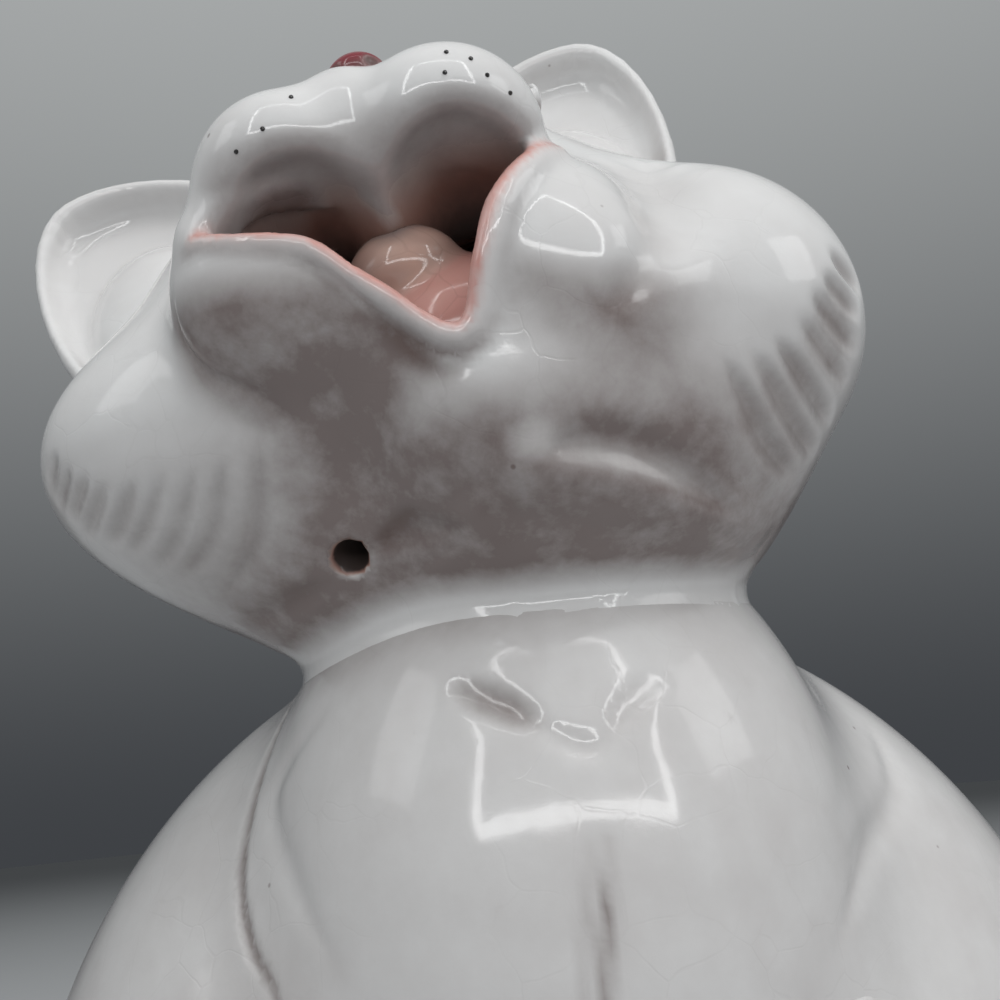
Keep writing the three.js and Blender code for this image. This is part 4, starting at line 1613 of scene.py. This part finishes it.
@dataclass
class WhiskerPores:
    """The dark pores that a needle left in the whisker pads."""

    places: tuple[Pair, ...] = (
        (-8.0, 7.7), (-12.3, 4.2), (-16.0, 3.6),
        (10.6, 5.4), (13.1, 4.4), (9.7, 2.6), (14.5, 2.4), (16.2, 1.5),
    )
    radius: float = 0.3
    stray: float = 0.2
    seed: int = 11

    def build(self, head: Head, carrier: bpy.types.Object, materials: Materials) -> None:
        """Cast points onto the pads and set a pore at each.

        Args:
            head: The head that carries the pads.
            carrier: The head's object.
            materials: The finishes by slot.
        """
        points = [(x, -70.0, z) for x, z in self.places]
        source = bpy.data.meshes.new("pore_grid")
        source.from_pydata((head.seat.world(np.array(points)) * MILLIMETRE).tolist(), [], [])
        way = tuple(float(value) for value in head.seat.turn[:, 1])
        sizes = {"Radius": self.radius * MILLIMETRE, "Stray": self.stray * MILLIMETRE}
        tree = Pattern("whisker_pores", sizes | {"Way": way, "Seed": self.seed})
        surface = tree.add("GeometryNodeObjectInfo", None, {"Object": carrier}, "Geometry")
        low = tree.add("ShaderNodeCombineXYZ", None, {axis: 0.0 - tree.size("Stray") for axis in "XYZ"})
        high = tree.add("ShaderNodeCombineXYZ", None, {axis: tree.size("Stray") for axis in "XYZ"})
        stray = tree.add("FunctionNodeRandomValue", {"data_type": "FLOAT_VECTOR"},
                         {"Min": low, "Max": high, "Seed": tree.size("Seed")})
        dots = tree.add("GeometryNodeMeshToPoints", None, {"Mesh": tree.start})
        dots = tree.add("GeometryNodeSetPosition", None, {"Geometry": dots, "Offset": stray})
        cast = {"Target Geometry": surface, "Ray Direction": tree.size("Way"), "Ray Length": 0.1}
        hit = tree.add("GeometryNodeRaycast", None, cast, "Hit Position")
        dots = tree.add("GeometryNodeSetPosition", None, {"Geometry": dots, "Position": hit})
        ball = tree.add("GeometryNodeMeshIcoSphere", None, {"Radius": tree.size("Radius"), "Subdivisions": 2})
        dots = tree.add("GeometryNodeInstanceOnPoints", None, {"Points": dots, "Instance": ball})
        mesh = tree.mesh(source, dots, materials[Slot.EYE])
        place_piece(mesh, "whisker_pores", (), Slot.EYE, materials)


# The studio

@dataclass
class Studio:
    """The floor, the lights and the camera."""

    camera_place: Triple = (-23.0, -182.1, 129.3)
    yaw: float = 6.0
    pitch: float = 12.0
    roll: float = 5.0
    view_angle: float = 45.0
    floor_radius: float = 2.5
    floor_sides: int = 96
    floor_colour: Triple = (0.42, 0.43, 0.44)
    floor_edge: Triple = (0.05, 0.055, 0.06)
    window_place: Triple = (0.02, -1.0, 1.15)
    window_size: Pair = (1.4, 1.45)
    window_glow: float = 0.2
    frame_width: float = 0.08
    frame_glow: float = 5.5
    sky_low: Triple = (0.05, 0.054, 0.06)
    sky_high: Triple = (0.42, 0.435, 0.437)

    def floor(self) -> None:
        """Lay a plain pale floor, darkening towards its rim as painted fall-off of the light."""
        mesh = bpy.data.meshes.new("floor")
        turn = np.linspace(0.0, 2 * math.pi, self.floor_sides, endpoint=False)
        ring = np.stack([np.cos(turn), np.sin(turn), 0.0 * turn], 1) * self.floor_radius
        mesh.from_pydata(ring.tolist(), [], [list(range(self.floor_sides))])
        paint = Paint("pale_floor")
        darker = tuple(0.94 * share for share in self.floor_colour)
        tone = paint.mix(paint.noise(240.0, 2.0), self.floor_colour, darker)
        away = paint.add("ShaderNodeVectorMath", {"operation": "LENGTH"}, {0: paint.place}, "Value")
        # Painted fall-off of light: the floor darkens towards its rim
        tone = paint.mix(away.step(0.5, 2.2), tone, self.floor_edge)
        mesh.materials.append(paint.finish(tone, 0.55, paint.noise(3.0), 0.02, IOR=1.4))
        floor = shown("floor", mesh)
        floor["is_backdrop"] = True

    def lamp(
        self, name: str, place: Vector, target: Vector, size: Pair, glow: float, mirrored: bool = True
    ) -> None:
        """Hang a flat soft light of a given brightness.

        Args:
            name: The lamp's name.
            place: Its middle, in metres.
            target: The point that it faces.
            size: Its width and height.
            glow: Its brightness, where 1 is white.
            mirrored: Whether glossy surfaces show it.
        """
        light = bpy.data.lights.new(name, "AREA")
        light.shape = "RECTANGLE"
        light.size, light.size_y = size
        light.energy = glow * math.pi * size[0] * size[1]
        lamp = shown(name, light)
        lamp.location = place
        lamp.rotation_euler = (target - place).to_track_quat("-Z", "Y").to_euler()
        lamp.visible_camera = False
        lamp.visible_glossy = mirrored

    def lights(self) -> None:
        """Hang the window with its bright frame, soft lights above and beside, and two weak fill lights."""
        middle, target, ahead = Vector(self.window_place), Vector((0.0, 0.0, 0.16)), Vector((0.0, 1.0, 0.0))
        wide, tall = self.window_size
        self.lamp("window", middle, middle + ahead, self.window_size, self.window_glow, mirrored=False)
        edges = {
            "window_left": ((-wide / 2, 0.01, 0), (self.frame_width, tall)),
            "window_right": ((wide / 2, 0.01, 0), (self.frame_width, tall)),
            "window_top": ((0, 0.01, tall / 2), (wide, self.frame_width)),
            "window_foot": ((0, 0.01, -tall / 2), (wide, self.frame_width)),
        }
        for name, (shift, size) in edges.items():
            spot = middle + Vector(shift)
            self.lamp(name, spot, spot + ahead, size, self.frame_glow)
        soft = {
            "top_light": ((0.35, -0.45, 1.6), (1.2, 1.0), 3.3, False),
            "right_light": ((0.95, -0.75, 0.6), (0.8, 0.8), 1.0, False),
            "left_light": ((-1.0, -0.55, 0.6), (0.8, 0.8), 0.65, False),
            "left_fill": ((-1.15, -0.4, 0.9), (0.5, 0.7), 1.0, True),
            "right_fill": ((1.1, -0.5, 0.8), (0.55, 0.55), 1.2, True),
        }
        for name, (place, size, glow, mirrored) in soft.items():
            self.lamp(name, Vector(place), target, size, glow, mirrored)

    def sky(self) -> None:
        """Give the room a plain grey that grows lighter upwards."""
        world = bpy.data.worlds.new("grey_room")
        world.use_nodes = True
        world.node_tree.nodes.clear()
        tree = Tree(world.node_tree)
        way = tree.add("ShaderNodeTexCoord", output="Generated")
        height = tree.add("ShaderNodeSeparateXYZ", None, {"Vector": way}, "Z")
        colour = tree.mix(height.step(-0.05, 0.75), self.sky_low, self.sky_high)
        shade = tree.add("ShaderNodeBackground", None, {"Color": colour, "Strength": 1.0})
        tree.add("ShaderNodeOutputWorld", None, {"Surface": shade})
        bpy.context.scene.world = world

    def camera(self) -> None:
        """Set the camera at the photograph's angle."""
        yaw, pitch, roll = (math.radians(angle) for angle in (self.yaw, self.pitch, self.roll))
        ahead = Vector((math.sin(yaw) * math.cos(pitch), math.cos(yaw) * math.cos(pitch), math.sin(pitch)))
        level = Vector((math.cos(yaw), -math.sin(yaw), 0.0))
        upright = level.cross(ahead)
        up = math.cos(roll) * upright + math.sin(roll) * level
        right = math.cos(roll) * level - math.sin(roll) * upright
        lens = bpy.data.cameras.new("camera")
        lens.sensor_fit, lens.sensor_width = "HORIZONTAL", 36.0
        lens.lens = lens.sensor_width / 2 / math.tan(math.radians(self.view_angle) / 2)
        lens.clip_start = 0.01
        camera = shown("camera", lens)
        turn = Matrix((right, up, -ahead)).transposed()
        camera.matrix_world = Matrix.LocRotScale(Vector(self.camera_place) * MILLIMETRE, turn, None)
        bpy.context.scene.camera = camera

    def build(self) -> None:
        """Set up the whole studio."""
        bpy.context.scene.view_settings.view_transform = "Standard"
        self.floor()
        self.lights()
        self.sky()
        self.camera()


def corners(box: Any) -> list[list[float]]:
    """Give a box as plain lists of numbers."""
    return [[float(value) for value in corner] for corner in box]


def main() -> None:
    """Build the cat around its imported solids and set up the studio."""
    logging.basicConfig(level=logging.INFO, format="%(message)s")
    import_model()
    cad_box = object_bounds()
    Studio().build()
    materials = {slot: finish.material() for slot, finish in FINISHES.items()}
    head, body = Head(), Body()
    cat = head.bulk() | body.bulk()
    pieces = head.pieces(body.torso) + body.pieces(head.plain.seated(head.seat))
    built = {piece.name: piece.build(cat, materials) for piece in pieces}
    Tail().build(body, materials)
    WhiskerPores().build(head, built["glazed_head"], materials)
    {"cad": corners(cad_box), "visual": corners(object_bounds())}


if __name__ == "__main__":
    main()
